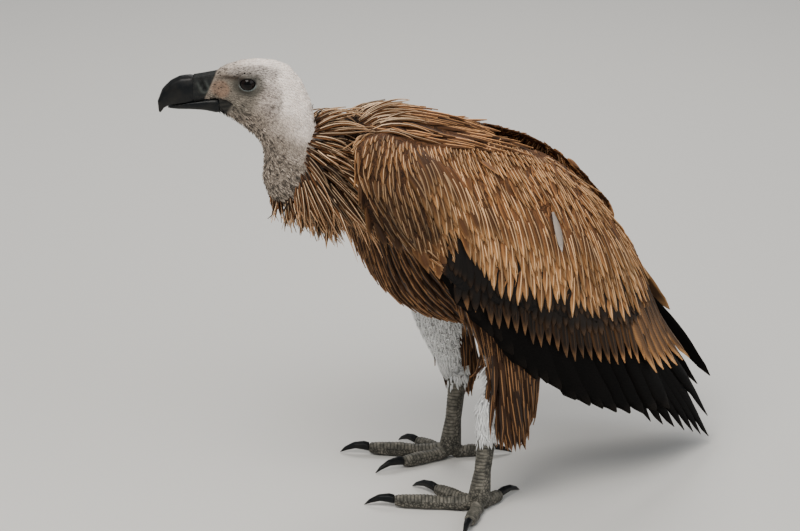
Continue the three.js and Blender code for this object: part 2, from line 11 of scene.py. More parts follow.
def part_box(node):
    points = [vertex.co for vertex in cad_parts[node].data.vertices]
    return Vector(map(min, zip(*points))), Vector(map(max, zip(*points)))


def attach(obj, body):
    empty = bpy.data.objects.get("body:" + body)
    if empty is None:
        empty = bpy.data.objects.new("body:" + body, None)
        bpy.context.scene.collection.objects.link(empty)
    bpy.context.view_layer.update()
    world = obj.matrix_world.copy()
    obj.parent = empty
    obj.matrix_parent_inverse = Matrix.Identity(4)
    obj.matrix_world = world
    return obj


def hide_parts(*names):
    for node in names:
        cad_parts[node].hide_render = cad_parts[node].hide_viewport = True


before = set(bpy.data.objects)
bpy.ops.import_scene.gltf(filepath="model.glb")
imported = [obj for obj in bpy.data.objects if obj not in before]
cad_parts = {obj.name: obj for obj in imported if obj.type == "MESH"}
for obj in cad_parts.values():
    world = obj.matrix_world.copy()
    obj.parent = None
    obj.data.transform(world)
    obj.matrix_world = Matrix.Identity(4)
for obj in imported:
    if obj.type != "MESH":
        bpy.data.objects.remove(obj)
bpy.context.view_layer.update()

# ---- Setting out ----
# The bird faces -Y and its left side is at +X. Its places are in millimetres in its own frame,
# whose origin is found from the two eyeballs, which sit in a head turned to the bird's right.

MM = 0.001
HEAD_TURN = math.radians(-28)
HEAD_AT = Vector((-23, -257, 515))   # middle of the skull
EYE_AHEAD = -2
EYE_UP = 8.5


def middle(node):
    low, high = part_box(node)
    return (Vector(low) + Vector(high)) / 2


turn_head = Matrix.Rotation(HEAD_TURN, 3, "Z")
between_eyes = (middle("eye_left") + middle("eye_right")) / 2
origin = between_eyes - (HEAD_AT + turn_head @ Vector((0, -EYE_AHEAD, EYE_UP))) * MM
ORIGIN = np.array(origin)


def place(x, y, z):
    return origin + Vector((x, y, z)) * MM


def in_head(ahead, up, side=0.0):
    """A place in metres, from distances ahead of, above and to the left of the skull's middle."""
    return place(*(HEAD_AT + turn_head @ Vector((side, -ahead, up))))


# ---- Camera, floor and light ----
# A long lens looks at the bird's left side from a little ahead and above. The floor is plain and
# pale, and three broad soft lamps stand over it.

CAMERA_AROUND = math.radians(62)
CAMERA_ABOVE = math.radians(19)
CAMERA_AWAY = 3.7
CAMERA_LENS = 141.1
LAMPS_AIM = (0, 0, 300)
FLOOR_SIZE = 30                 # metres, half of each side
aim = place(-106.7, -22.4, 243.2)
back = Vector((
    math.sin(CAMERA_AROUND) * math.cos(CAMERA_ABOVE),
    -math.cos(CAMERA_AROUND) * math.cos(CAMERA_ABOVE),
    math.sin(CAMERA_ABOVE),
))
camera = bpy.data.objects.new("camera", bpy.data.cameras.new("camera"))
camera.data.lens = CAMERA_LENS
camera.data.sensor_width = 36
camera.data.clip_end = 50
camera.location = aim + back * CAMERA_AWAY
camera.rotation_euler = back.to_track_quat("Z", "Y").to_euler()
bpy.context.collection.objects.link(camera)
bpy.context.scene.camera = camera


def new_material(name, roughness, **sockets):
    """A material with its shader's fixed values set on the shader itself."""
    material = bpy.data.materials.new(name)
    material.use_nodes = True
    shader = material.node_tree.nodes["Principled BSDF"]
    shader.inputs["Roughness"].default_value = roughness
    for socket, value in sockets.items():
        shader.inputs[socket.replace("_", " ")].default_value = value
    return material, material.node_tree, shader


def put_in_scene(name, mesh, material=None):
    piece = bpy.data.objects.new(name, mesh)
    bpy.context.collection.objects.link(piece)
    if material:
        mesh.materials.clear()
        mesh.materials.append(material)
    return piece


def mesh_from(name, bm):
    """A mesh of all that is in bm, which is freed."""
    mesh = bpy.data.meshes.new(name)
    bm.to_mesh(mesh)
    bm.free()
    return mesh


floor_material = new_material("floor", 0.9, Base_Color=(0.72, 0.70, 0.66, 1))[0]
bm = bmesh.new()
bmesh.ops.create_grid(bm, x_segments=1, y_segments=1, size=FLOOR_SIZE)
floor = put_in_scene("floor", mesh_from("floor", bm), floor_material)


def soft_lamp(name, towards, distance, size, power, tint):
    """A round lamp that looks at the bird from the direction towards."""
    lamp = bpy.data.lights.new(name, "AREA")
    lamp.shape = "DISK"
    lamp.size = size
    lamp.energy = power
    lamp.color = tint
    stand = bpy.data.objects.new(name, lamp)
    direction = Vector(towards).normalized()
    stand.location = place(*LAMPS_AIM) + direction * distance
    stand.rotation_euler = direction.to_track_quat("Z", "Y").to_euler()
    bpy.context.collection.objects.link(stand)


soft_lamp("key", (0.75, -0.9, 1.5), 2.6, 1.6, 62, (1.0, 0.97, 0.92))
soft_lamp("fill", (1.3, 0.6, 0.7), 3.0, 2.2, 22, (0.92, 0.96, 1.0))
soft_lamp("rim", (-1.2, 0.6, 1.4), 2.8, 1.6, 34, (1.0, 0.98, 0.95))
world = bpy.data.worlds.new("studio")
world.use_nodes = True
sky = world.node_tree.nodes["Background"].inputs
sky["Color"].default_value = (0.86, 0.89, 0.93, 1)
sky["Strength"].default_value = 0.45
bpy.context.scene.world = world

# ---- Skin ----
# One skin covers the flesh of the trunk, the wings' arms and the thighs. It is made from the
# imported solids, joined without seams, and set in by the depth of the feathers.

BODY_VOXEL = 0.004
BODY_SMOOTHING = 8              # passes
SKIN_DEPTH = 0.003
WELD = 0.00002                  # corners nearer than this are one
BODY_NODES = ["trunk", "thigh_left", "thigh_right", "wing_left_coverts", "wing_right_coverts"]
rng = np.random.default_rng(7)


def joined(whole, part):
    """Adds the bmesh part to the bmesh whole, and frees it."""
    copy = mesh_from("copy", part)
    whole.from_mesh(copy)
    bpy.data.meshes.remove(copy)


def gathered(nodes):
    """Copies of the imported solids, with their loose triangles joined, as one bmesh. Each face
    keeps the number of its solid as its owner."""
    whole = bmesh.new()
    for number, node in enumerate(nodes):
        bm = bmesh.new()
        bm.from_mesh(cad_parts[node].data)
        bmesh.ops.remove_doubles(bm, verts=bm.verts, dist=WELD)
        owner = bm.faces.layers.int.new("owner")
        for face in bm.faces:
            face[owner] = number
        joined(whole, bm)
    return whole


def remeshed(name, bm, voxel, smoothing):
    """A closed even mesh round everything in bm, smoothed."""
    rough = mesh_from(name, bm)
    shell = put_in_scene(name, rough)
    remesh = shell.modifiers.new("remesh", "REMESH")
    remesh.mode = "VOXEL"
    remesh.voxel_size = voxel
    relax = shell.modifiers.new("relax", "SMOOTH")
    relax.factor = 0.5
    relax.iterations = smoothing
    evaluated = shell.evaluated_get(bpy.context.evaluated_depsgraph_get())
    mesh = bpy.data.meshes.new_from_object(evaluated)
    bpy.data.objects.remove(shell)
    bpy.data.meshes.remove(rough)
    mesh.name = name
    mesh.shade_smooth()
    return mesh


def corners_of(mesh):
    places = np.empty(len(mesh.vertices) * 3)
    mesh.vertices.foreach_get("co", places)
    normals = np.empty(len(mesh.vertices) * 3)
    mesh.vertex_normals.foreach_get("vector", normals)
    return places.reshape(-1, 3), normals.reshape(-1, 3)


def set_in(mesh, depth):
    """Moves the mesh's corners inwards by depth, which is a length or one for each corner."""
    places, normals = corners_of(mesh)
    mesh.vertices.foreach_set("co", (places - normals * np.reshape(depth, (-1, 1))).ravel())
    mesh.update()


def coloured(mesh, name, colours):
    """Keeps a colour, or four other values, for each corner of the mesh."""
    mesh.attributes.new(name, "FLOAT_COLOR", "POINT").data.foreach_set("color", colours.ravel())


def surface_of(mesh):
    """The mesh as a tree that finds the nearest place on it."""
    bm = bmesh.new()
    bm.from_mesh(mesh)
    tree = BVHTree.FromBMesh(bm)
    bm.free()
    return tree


body_mesh = remeshed("skin", gathered(BODY_NODES), BODY_VOXEL, BODY_SMOOTHING)
set_in(body_mesh, SKIN_DEPTH)
body_surface = surface_of(body_mesh)
skin = put_in_scene("skin", body_mesh)
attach(skin, "root")
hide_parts(*BODY_NODES)

# ---- Feathers of the trunk ----
# Contour feathers lie in overlapping rows over the breast, back and belly. Each is a thin vane
# that starts in the skin, follows it and stands a little off it at its tip.

FLOW_TRUNK = np.array([0.0, 0.6, -0.8])
# points round a vane: across in half-widths, up in thicknesses, up in half-widths
VANE_RING = [(-1, 0, -0.2), (0, 1, 0), (1, 0, -0.2), (0, -1, 0)]
PATCH = 0.003                   # a feather's share of the bake map
TURNS_WITH = 0.75               # cosine of the sharpest turn in the skin that a spine follows
SHAFT_THICK = 0.0004
CANDIDATES = 5                  # random places for each gap by gap, before they are thinned out
RISE = 1.1                      # over 1, a feather lifts more towards its tip


def unit(vectors):
    return vectors / np.maximum(np.linalg.norm(vectors, axis=-1, keepdims=True), 1e-9)


def soft(values, low, high):
    """A smooth step from 0 at low to 1 at high."""
    share = np.clip((values - low) / (high - low), 0, 1)
    return share * share * (3 - 2 * share)


def laid_flat(directions, normals):
    """The directions without what points out of the surface."""
    out = np.sum(directions * normals, axis=-1, keepdims=True)
    return unit(directions - out * normals)


def candidates(mesh, gap):
    """Random places on the mesh, several for each gap by gap, with the mesh's normals there."""
    mesh.calc_loop_triangles()
    corners = np.empty(len(mesh.loop_triangles) * 3, dtype=int)
    mesh.loop_triangles.foreach_get("vertices", corners)
    corners = corners.reshape(-1, 3)
    places, normals = corners_of(mesh)
    a, b, c = (places[corners[:, i]] for i in range(3))
    areas = np.linalg.norm(np.cross(b - a, c - a), axis=1) / 2
    count = int(CANDIDATES * areas.sum() / gap ** 2)
    chosen = rng.choice(len(areas), count, p=areas / areas.sum())
    u, v = rng.random((2, count))
    u, v = np.where(u + v > 1, (1 - u, 1 - v), (u, v))
    weights = np.stack([1 - u - v, u, v], axis=1)[:, :, None]
    on = corners[chosen]
    return (places[on] * weights).sum(axis=1), unit((normals[on] * weights).sum(axis=1))


def tree_of(places):
    """The places as a tree that finds the nearest of them."""
    tree = KDTree(len(places))
    for number, here in enumerate(places):
        tree.insert(here, number)
    tree.balance()
    return tree


def spread_out(places, normals, directions, across, along):
    """Numbers of the places that keep across beside and along before each other."""
    tree = tree_of(places)
    sides = np.cross(directions, normals)
    free = np.ones(len(places), dtype=bool)
    chosen = []
    for number, here in enumerate(places):
        if not free[number]:
            continue
        chosen.append(number)
        found = tree.find_range(here, max(across[number], along[number]))
        near = np.array([other for _, other, _ in found])
        gaps = places[near] - here
        ahead = gaps @ directions[number] / along[number]
        beside = gaps @ sides[number] / across[number]
        free[near] &= ahead ** 2 + beside ** 2 >= 1
    return np.array(chosen)


def traced(surface, places, directions, lengths, stations, flow, follow=0.5):
    """Spines that run over the surface from places, with the surface's normals along them."""
    spines = np.empty((len(places), stations, 3))
    normals = np.empty_like(spines)
    for number, start in enumerate(places):
        here = Vector(start)
        normal = surface.find_nearest(here)[1]
        heading = Vector(directions[number])
        step = lengths[number] / (stations - 1)
        for station in range(stations):
            spines[number, station] = here
            normals[number, station] = normal
            ahead = here + heading * step
            found, facing, _, _ = surface.find_nearest(ahead)
            if facing.dot(normal) > TURNS_WITH and (found - ahead).length < 0.5 * step:
                here = found
                normal = (normal + facing).normalized()
                wanted = heading.lerp(Vector(flow(np.array([here]), np.array([normal]))[0]), follow)
                heading = (wanted - wanted.dot(normal) * normal).normalized()
            else:
                here = ahead
    return spines, normals


laid_places = []
laid_colours = []               # what the coat's roots look like, for the skin under them


def feather_piece(name, spines, normals, widths, thick, ring, patches, tones, material, marks=None):
    """One mesh of many vanes. Each has a ring of points round every station of its spine.
    widths are half-widths for each station. patches are the roots' places on the bake map."""
    count, stations, _ = spines.shape
    tangents = unit(np.gradient(spines, axis=1))
    sides = unit(np.cross(tangents, normals))
    ups = unit(np.cross(sides, tangents))
    across = np.array([point[0] for point in ring])
    raised = np.array([point[1] for point in ring])
    arched = np.array([point[2] for point in ring])
    rings = (
        spines[:, :, None, :]
        + sides[:, :, None, :] * (widths[:, :, None] * across)[..., None]
        + ups[:, :, None, :] * (thick[:, :, None] * raised + widths[:, :, None] * arched)[..., None]
    )
    size = len(ring)
    mesh = bpy.data.meshes.new(name)
    mesh.vertices.add(count * stations * size)
    mesh.vertices.foreach_set("co", rings.ravel())
    first = (np.arange(count) * stations * size)[:, None, None]
    along = (np.arange(stations - 1) * size)[None, :, None]
    turn = np.arange(size)[None, None, :]
    after = (turn + 1) % size
    walls = np.stack([
        first + along + turn, first + along + after,
        first + along + size + after, first + along + size + turn,
    ], axis=-1).reshape(-1)
    roots = (first[:, 0] + np.arange(size)[::-1]).reshape(-1)
    tips = (first[:, 0] + (stations - 1) * size + np.arange(size)).reshape(-1)
    loops = np.concatenate([walls, roots, tips])
    wall_count = count * (stations - 1) * size
    starts = np.concatenate([
        np.arange(wall_count) * 4,
        wall_count * 4 + np.arange(2 * count) * size,
    ])
    mesh.loops.add(len(loops))
    mesh.loops.foreach_set("vertex_index", loops.astype(np.int32))
    mesh.polygons.add(len(starts))
    mesh.polygons.foreach_set("loop_start", starts.astype(np.int32))
    lengthwise = np.linspace(0, 1, stations)
    vane = np.stack(np.broadcast_arrays(
        0.5 + 0.5 * across[None, None, :], lengthwise[None, :, None] + 0 * first
    ), axis=-1).reshape(-1, 2)
    bake = (patches[:, None, None, :] + PATCH * vane.reshape(count, stations, size, 2)).reshape(-1, 2)
    mesh.uv_layers.new(name="OFBake").uv.foreach_set("vector", bake[loops].ravel())
    mesh.uv_layers.new(name="Vane").uv.foreach_set("vector", vane[loops].ravel())
    opaque = np.concatenate([tones, np.ones((count, 1))], axis=1)
    coloured(mesh, "Feather", np.repeat(opaque, stations * size, axis=0))
    if marks is not None:
        coloured(mesh, "Marks", np.repeat(marks, stations * size, axis=0))
    mesh.update(calc_edges=True)
    mesh.validate()
    mesh.shade_smooth()
    piece = put_in_scene(name, mesh, material)
    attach(piece, "root")
    return piece


def square_of(flat):
    """The unwrapped places, spread over the bake map's square."""
    low = flat.min(axis=0)
    high = flat.max(axis=0)
    return 0.01 + 0.97 * (flat - low) / np.maximum(high - low, 1e-6)


# a vane's width along its length
LANCE = np.array([0.3, 0.75, 0.98, 1.0, 0.82, 0.46, 0.03])
STREAK_RING = [(-1, 0, 0), (0, 1, 0), (1, 0, 0)]
STREAK_FROM = 2                 # the station where the pale shaft shows
STREAK = np.array([0.5, 1.0, 0.95, 0.6, 0.1])


def remember(places, colour, tones):
    """Keeps a tract's roots and colour, for the skin that shows between the feathers."""
    laid_places.append(places)
    laid_colours.append(np.outer(tones[:, 1] * (0.75 + 0.5 * tones[:, 0]), colour))


def lay_shafts(name, spines, normals, raised, first, widths, patches, tones, material):
    """The shafts of a piece's vanes, raised over them from the first station that shows one."""
    shafts = (spines + normals * raised[..., None])[:, first:]
    thick = np.full(shafts.shape[:2], SHAFT_THICK)
    feather_piece(name + "_shafts", shafts, normals[:, first:], widths, thick, STREAK_RING, patches, tones,
                  material)


def lay_feathers(name, surface, places, directions, sizes, flow, flat, tones, materials,
                 streak=0.0, outline=LANCE, ring=VANE_RING, sunk=0.0012, marks=None, loose=0.2):
    """A tract of vanes over a surface. sizes are arrays of length, half-width and lift. With a
    streak, which is its share of the half-width, a second piece holds the raised pale shafts.
    Feathers whose tips would pass the skin's edge by more than loose are left out."""
    lengths, half_widths, lifts = sizes
    if marks is None:
        remember(places, under_colour[materials[0].name], tones)
    stations = len(outline)
    spines, normals = traced(surface, places, directions, lengths, stations, flow)
    kept = np.array([surface.find_nearest(Vector(tip))[3] for tip in spines[:, -1]]) < loose
    spines, normals, half_widths, lifts, places, flat, tones = (
        values[kept] for values in (spines, normals, half_widths, lifts, places, flat, tones))
    rise = lifts[:, None] * np.linspace(0, 1, stations) ** RISE - sunk
    spines = spines + normals * rise[..., None]
    widths = half_widths[:, None] * outline * rng.uniform(0.88, 1.12, (len(places), stations))
    thick = 0.0004 + 0.05 * widths
    patches = square_of(flat)
    feather_piece(name, spines, normals, widths, thick, ring, patches, tones, materials[0], marks)
    if streak:
        lay_shafts(name, spines, normals, 0.9 * thick, STREAK_FROM, half_widths[:, None] * streak * STREAK,
                   patches, tones, materials[1])


# ---- Feather colours ----
# A vane is darker along its middle and paler at its edges and tip. Fine barbs run out from the
# shaft. Every feather differs a little from the next, and light and dark patches lie over all.


def node(tree, kind, **settings):
    made = tree.nodes.new(kind)
    for setting, value in settings.items():
        setattr(made, setting, value)
    return made


def feed(tree, socket, value):
    """Links a socket to an output, or gives it a plain value."""
    if isinstance(value, bpy.types.NodeSocket):
        tree.links.new(value, socket)
    else:
        socket.default_value = value


def sum_of(tree, operation, *values):
    made = node(tree, "ShaderNodeMath", operation=operation)
    for socket, value in zip(made.inputs, values):
        feed(tree, socket, value)
    return made.outputs[0]


def ramp(tree, value, low, high, to_low=0.0, to_high=1.0):
    made = node(tree, "ShaderNodeMapRange", interpolation_type="SMOOTHSTEP")
    for socket, given in zip(made.inputs, (value, low, high, to_low, to_high)):
        feed(tree, socket, given)
    return made.outputs[0]


def mixed(tree, factor, a, b, blend="MIX"):
    made = node(tree, "ShaderNodeMix", data_type="RGBA", blend_type=blend)
    feed(tree, made.inputs[0], factor)
    feed(tree, made.inputs[6], a)
    feed(tree, made.inputs[7], b)
    return made.outputs[2]


def own_place(tree):
    return node(tree, "ShaderNodeTexCoord").outputs["Object"]


def noise(tree, scale, detail=2.0, roughness=0.5):
    made = node(tree, "ShaderNodeTexNoise")
    made.inputs["Scale"].default_value = scale
    made.inputs["Detail"].default_value = detail
    made.inputs["Roughness"].default_value = roughness
    feed(tree, made.inputs["Vector"], own_place(tree))
    return made.outputs[0]


def axes_of(tree, vector):
    made = node(tree, "ShaderNodeSeparateXYZ")
    feed(tree, made.inputs[0], vector)
    return made.outputs


def kept_values(tree, name):
    """The values that the mesh keeps for its corners under the name."""
    made = node(tree, "ShaderNodeSeparateColor")
    feed(tree, made.inputs[0], node(tree, "ShaderNodeAttribute", attribute_name=name).outputs["Color"])
    return made.outputs


def shaded(tree, colour, value):
    """The colour, as many times as bright as the value says."""
    made = node(tree, "ShaderNodeHueSaturation")
    feed(tree, made.inputs["Color"], colour)
    feed(tree, made.inputs["Value"], value)
    return made.outputs[0]


def raise_grain(tree, shader, height, strength, depth):
    """Bumps the shader's surface by the height."""
    bump = node(tree, "ShaderNodeBump")
    bump.inputs["Strength"].default_value = strength
    bump.inputs["Distance"].default_value = depth
    feed(tree, bump.inputs["Height"], height)
    feed(tree, shader.inputs["Normal"], bump.outputs[0])


def new_group(name, inputs, outputs):
    group = bpy.data.node_groups.new(name, "ShaderNodeTree")
    for label, kind, value in inputs:
        socket = group.interface.new_socket(label, in_out="INPUT", socket_type="NodeSocket" + kind)
        socket.default_value = value
    for label, kind in outputs:
        group.interface.new_socket(label, in_out="OUTPUT", socket_type="NodeSocket" + kind)
    return group, node(group, "NodeGroupInput").outputs, node(group, "NodeGroupOutput").inputs


GREY = (0.5, 0.5, 0.5, 1)
BARB_PHASE = 260.0              # how far the barbs' wave runs along a vane, in radians
BARB_SLANT = 26.0               # how far it lags at the vane's edge
vane_group, given, result = new_group(
    "vane markings",
    [("Middle", "Color", GREY), ("Edge", "Color", GREY), ("Tip", "Color", GREY),
     ("Edge start", "Float", 0.5), ("Tip start", "Float", 0.8), ("Variation", "Float", 0.4)],
    [("Color", "Color"), ("Height", "Float")],
)
vane_axes = axes_of(vane_group, node(vane_group, "ShaderNodeUVMap", uv_map="Vane").outputs[0])
beside = sum_of(vane_group, "ABSOLUTE", sum_of(vane_group, "SUBTRACT", vane_axes[0], 0.5))
beside = sum_of(vane_group, "MULTIPLY", beside, 2.0)
lengthwise = vane_axes[1]
feather = kept_values(vane_group, "Feather")
slant = sum_of(vane_group, "MULTIPLY", beside, BARB_SLANT)
barb_phase = sum_of(vane_group, "MULTIPLY_ADD", lengthwise, BARB_PHASE, slant)
barbs = sum_of(vane_group, "MULTIPLY_ADD", sum_of(vane_group, "SINE", barb_phase), 0.5, 0.5)
edge = ramp(vane_group, beside, given["Edge start"], 1.0)
tip = ramp(vane_group, lengthwise, given["Tip start"], 1.0)
colour = mixed(vane_group, edge, given["Middle"], given["Edge"])
colour = mixed(vane_group, tip, colour, given["Tip"])
swing = sum_of(vane_group, "MULTIPLY_ADD", feather[0], 2.0, -1.0)
bright = sum_of(vane_group, "MULTIPLY_ADD", swing, given["Variation"], 1.0)
bright = sum_of(vane_group, "MULTIPLY", bright, feather[1])
patchy = sum_of(vane_group, "MULTIPLY_ADD", noise(vane_group, 55.0), 0.5, 0.75)
fine = sum_of(vane_group, "MULTIPLY_ADD", barbs, 0.16, 0.92)
bright = sum_of(vane_group, "MULTIPLY", bright, sum_of(vane_group, "MULTIPLY", patchy, fine))
feed(vane_group, result["Color"], shaded(vane_group, colour, bright))
feed(vane_group, result["Height"], barbs)

under_colour = {}               # each feather material's middle colour, for the skin


def vane_material(name, middle, edge, tip, edge_start=0.5, tip_start=0.8, variation=0.3, roughness=0.62,
                  sheen=0.03, gloss=0.16):
    """A feather's material from three colours, and where its edge and tip start."""
    material, tree, shader = new_material(name, roughness, Sheen_Weight=sheen, Specular_IOR_Level=gloss)
    under_colour[material.name] = middle
    marks = node(tree, "ShaderNodeGroup", node_tree=vane_group)
    values = {"Middle": (*middle, 1), "Edge": (*edge, 1), "Tip": (*tip, 1), "Edge start": edge_start,
              "Tip start": tip_start, "Variation": variation}
    for socket, value in values.items():
        marks.inputs[socket].default_value = value
    feed(tree, shader.inputs["Base Color"], marks.outputs["Color"])
    raise_grain(tree, shader, marks.outputs["Height"], 0.25, 0.0004)
    return material


def shaft_material(name, colour, tip, variation=0.3):
    """A shaft is one colour from edge to edge and pales to its tip."""
    return vane_material(name, colour, colour, tip, variation=variation)


def tone_of(count, level):
    """A random number and a level of brightness for each feather."""
    return np.stack([rng.random(count), np.broadcast_to(level, count), rng.random(count)], axis=1)


breast_vane = vane_material("breast_feathers", (0.045, 0.020, 0.009), (0.085, 0.036, 0.014),
                            (0.17, 0.075, 0.028), variation=0.45)
breast_shaft = shaft_material("breast_shafts", (0.38, 0.19, 0.08), (0.5, 0.27, 0.12), 0.4)

owners = gathered(BODY_NODES)
owners.faces.ensure_lookup_table()
owner_layer = owners.faces.layers.int.get("owner")
owner_of_face = np.array([face[owner_layer] for face in owners.faces])
owner_surface = BVHTree.FromBMesh(owners)
owners.free()

spots, spot_normals = candidates(body_mesh, 0.0042)
spot_owner = owner_of_face[[owner_surface.find_nearest(Vector(spot))[2] for spot in spots]]
spot_mm = (spots - ORIGIN) / MM


def trunk_flow(places, normals):
    return laid_flat(np.broadcast_to(FLOW_TRUNK, places.shape), normals)


def tract(chosen, flow, across, along):
    """The candidates of one tract, thinned out to the feathers' own spacing."""
    directions = flow(spots[chosen], spot_normals[chosen])
    picked = spread_out(spots[chosen], spot_normals[chosen], directions, across, along)
    return chosen[picked], directions[picked], across[picked], along[picked]


def share_on_back(chosen):
    return np.clip((spot_normals[chosen, 2] - 0.1) / 0.3, 0, 1)


# metres of room that a feather has beside and before it
BREAST_ROOM = (0.0078, 0.0155)
BACK_ROOM = (0.0085, 0.015)
TRUNK_LENGTH = 4.2              # of a feather, in its room before it
TRUNK_WIDTH = 0.75              # half a feather's width, in its room beside it
TRUNK_LIFT = 0.008
FLATTER_ON_BACK = 0.002
BRIGHTER_ON_BACK = 1.1
TRUNK_MIDDLE = 340              # the height that the trunk's feathers are unwrapped round
chosen = np.flatnonzero(spot_owner == 0)
across, along = (low + (high - low) * share_on_back(chosen) for low, high in zip(BREAST_ROOM, BACK_ROOM))
chosen, directions, across, along = tract(chosen, trunk_flow, across, along)
on_back = share_on_back(chosen)
lift = TRUNK_LIFT - FLATTER_ON_BACK * on_back
x, y, z = spot_mm[chosen].T
lay_feathers(
    "trunk_feathers", body_surface, spots[chosen], directions,
    (TRUNK_LENGTH * along, TRUNK_WIDTH * across, lift), trunk_flow,
    np.stack([y + z, np.arctan2(x, z - TRUNK_MIDDLE)], axis=1),
    tone_of(len(chosen), 1 + BRIGHTER_ON_BACK * on_back),
    (breast_vane, breast_shaft), streak=0.13, loose=0.014,
)

# ---- Trousers ----
# Long loose feathers hang from each thigh, like trouser legs, over the top of the shank.

THIGH_ROOM = (0.0060, 0.0145)
TROUSERS_END = 88               # height of the hem round the shank
HEM_DROOP = 12                  # how far a tip may hang below a hem
SHORTEST = 0.014
THIGH_LENGTH = (4.0, 5.2)       # shortest and longest, in a feather's room before it
THIGH_WIDTH = 0.72
INNER_SIDE = -0.56              # white where the skin faces inwards by more than this
REAR_SHADE_SIDE = 0.1                 # but brown where it faces back by more than this, partly as painted shade behind the leg,
REAR_SHADE_TOP = 225                  # below this height
PUFF_END = 182                  # above this height the down lies flat
FLOW_THIGH = np.array([0.0, 0.12, -1.0])


def thigh_flow(places, normals):
    return laid_flat(np.broadcast_to(FLOW_THIGH, places.shape), normals)


TUFT = np.array([0.7, 1.0, 0.6, 0.05])
DOWN_ROOM = 0.003
white_down = vane_material("leg_down", (0.8, 0.8, 0.79), (0.82, 0.82, 0.81), (0.86, 0.86, 0.85),
                           tip_start=0.5, variation=0.08)
# the down covers the front and the inner side, and puffs out before the shank's joint
for number, side, outward, shin_turn, shin_side, shin_top, puff in (
    (1, "left", 1, -0.3, 0.05, 180, 0.011), (2, "right", -1, -0.1, 1.0, 260, 0.0),
):
    in_front = (spot_normals[:, 1] < shin_turn) & (spot_normals[:, 0] * outward < shin_side)
    white = (in_front & (spot_mm[:, 2] < shin_top)) | (spot_normals[:, 0] * outward < INNER_SIDE)
    # where the leg faces back, low down, brown feathers take the down's place: partly the trousers hanging
    # behind, partly painted shade behind the leg
    white &= (spot_normals[:, 1] < REAR_SHADE_SIDE) | (spot_mm[:, 2] > REAR_SHADE_TOP)
    on_thigh = spot_owner == number
    chosen = np.flatnonzero(on_thigh & ~white)
    across, along = (np.full(len(chosen), room) for room in THIGH_ROOM)
    chosen, directions, across, along = tract(chosen, thigh_flow, across, along)
    x, y, z = spot_mm[chosen].T
    end = np.where(in_front[chosen], shin_top - HEM_DROOP, TROUSERS_END - HEM_DROOP)
    reach = np.clip((z - end) * MM, SHORTEST, rng.uniform(*THIGH_LENGTH, len(chosen)) * along)
    fluffed = soft(-spot_normals[chosen, 1], 0.2, 0.7) * soft(z, 225, 190) * soft(z, 140, 170)
    lift = 0.001 + rng.uniform(0.003, 0.011, len(chosen)) * soft(z, 215, 150)
    lay_feathers(
        "trousers_" + side, body_surface, spots[chosen], directions,
        (reach, THIGH_WIDTH * across, lift + rng.uniform(0.0, 0.018, len(chosen)) * fluffed),
        thigh_flow, np.stack([np.arctan2(x - x.mean(), y - y.mean()), z], axis=1), tone_of(len(chosen), 0.85),
        (breast_vane, breast_shaft), streak=0.16,
    )
    chosen = np.flatnonzero(on_thigh & white)
    room = np.full(len(chosen), DOWN_ROOM)
    chosen, directions, across, along = tract(chosen, thigh_flow, room, room)
    x, y, z = spot_mm[chosen].T
    lift = rng.uniform(0.001, 0.0035, len(chosen))
    lift = lift + rng.uniform(0, puff, len(chosen)) * in_front[chosen] * (z < PUFF_END)
    lay_feathers(
        "leg_down_" + side, body_surface, spots[chosen], directions,
        ((3.2 + 2.4 * soft(z, 150, 125)) * along, 0.75 * across, lift), thigh_flow,
        np.stack([np.arctan2(x - x.mean(), y - y.mean()), z], axis=1), tone_of(len(chosen), 1.0),
        (white_down,), outline=TUFT, ring=STREAK_RING,
    )

# ---- Wing coverts ----
# Small overlapping feathers cover each folded wing's arm. They are shortest along the upper
# edge and long and pointed in the lowest row. The wing's own plane slopes to its tip.

WING_SLOPE = math.radians(42.4)
WING_ROLL = math.radians(35)
WING_START = 440                # the shoulder, along the wing
SHOULDER = Vector((0, -150, 455))
RIGHT_WING_LIFT = math.radians(5)
RIGHT_WING_DROP = 12
LOOK_AHEAD = np.arange(0, 100, 3)   # along a feather's line
COVERTS_TOP = [(0, 150), (70, 211), (128, 240), (196, 271), (256, 287), (330, 286), (392, 277), (440, 250)]
COVERTS_LOW = [(0, 138), (14, 108), (40, 86), (84, 68), (122, 61), (155, 58), (215, 72), (277, 92),
               (344, 121), (400, 152), (440, 220)]

wing_along = Vector((0, math.cos(WING_SLOPE), -math.sin(WING_SLOPE)))
wing_above = Vector((0, math.sin(WING_SLOPE), math.cos(WING_SLOPE)))
wing_out = Vector((math.cos(WING_ROLL), 0, 0)) + wing_above * math.sin(WING_ROLL)
wing_across = wing_above * math.cos(WING_ROLL) - Vector((math.sin(WING_ROLL), 0, 0))
wing_plane = Matrix((wing_along, wing_across, wing_out)).transposed().to_4x4()
wing_plane.translation = wing_along * -WING_START
swung = Matrix.Translation(SHOULDER - Vector((0, 0, RIGHT_WING_DROP))) @ Matrix.Rotation(
    RIGHT_WING_LIFT, 4, "X") @ Matrix.Translation(-SHOULDER)
to_metres = Matrix.Translation(origin) @ Matrix.Diagonal((MM, MM, MM, 1))
WING_FRAMES = {
    "left": np.array(to_metres @ wing_plane),
    "right": np.array(to_metres @ swung @ Matrix.Diagonal((-1, 1, 1, 1)) @ wing_plane),
}


def carried(matrix, places):
    return places @ matrix[:3, :3].T + matrix[:3, 3]


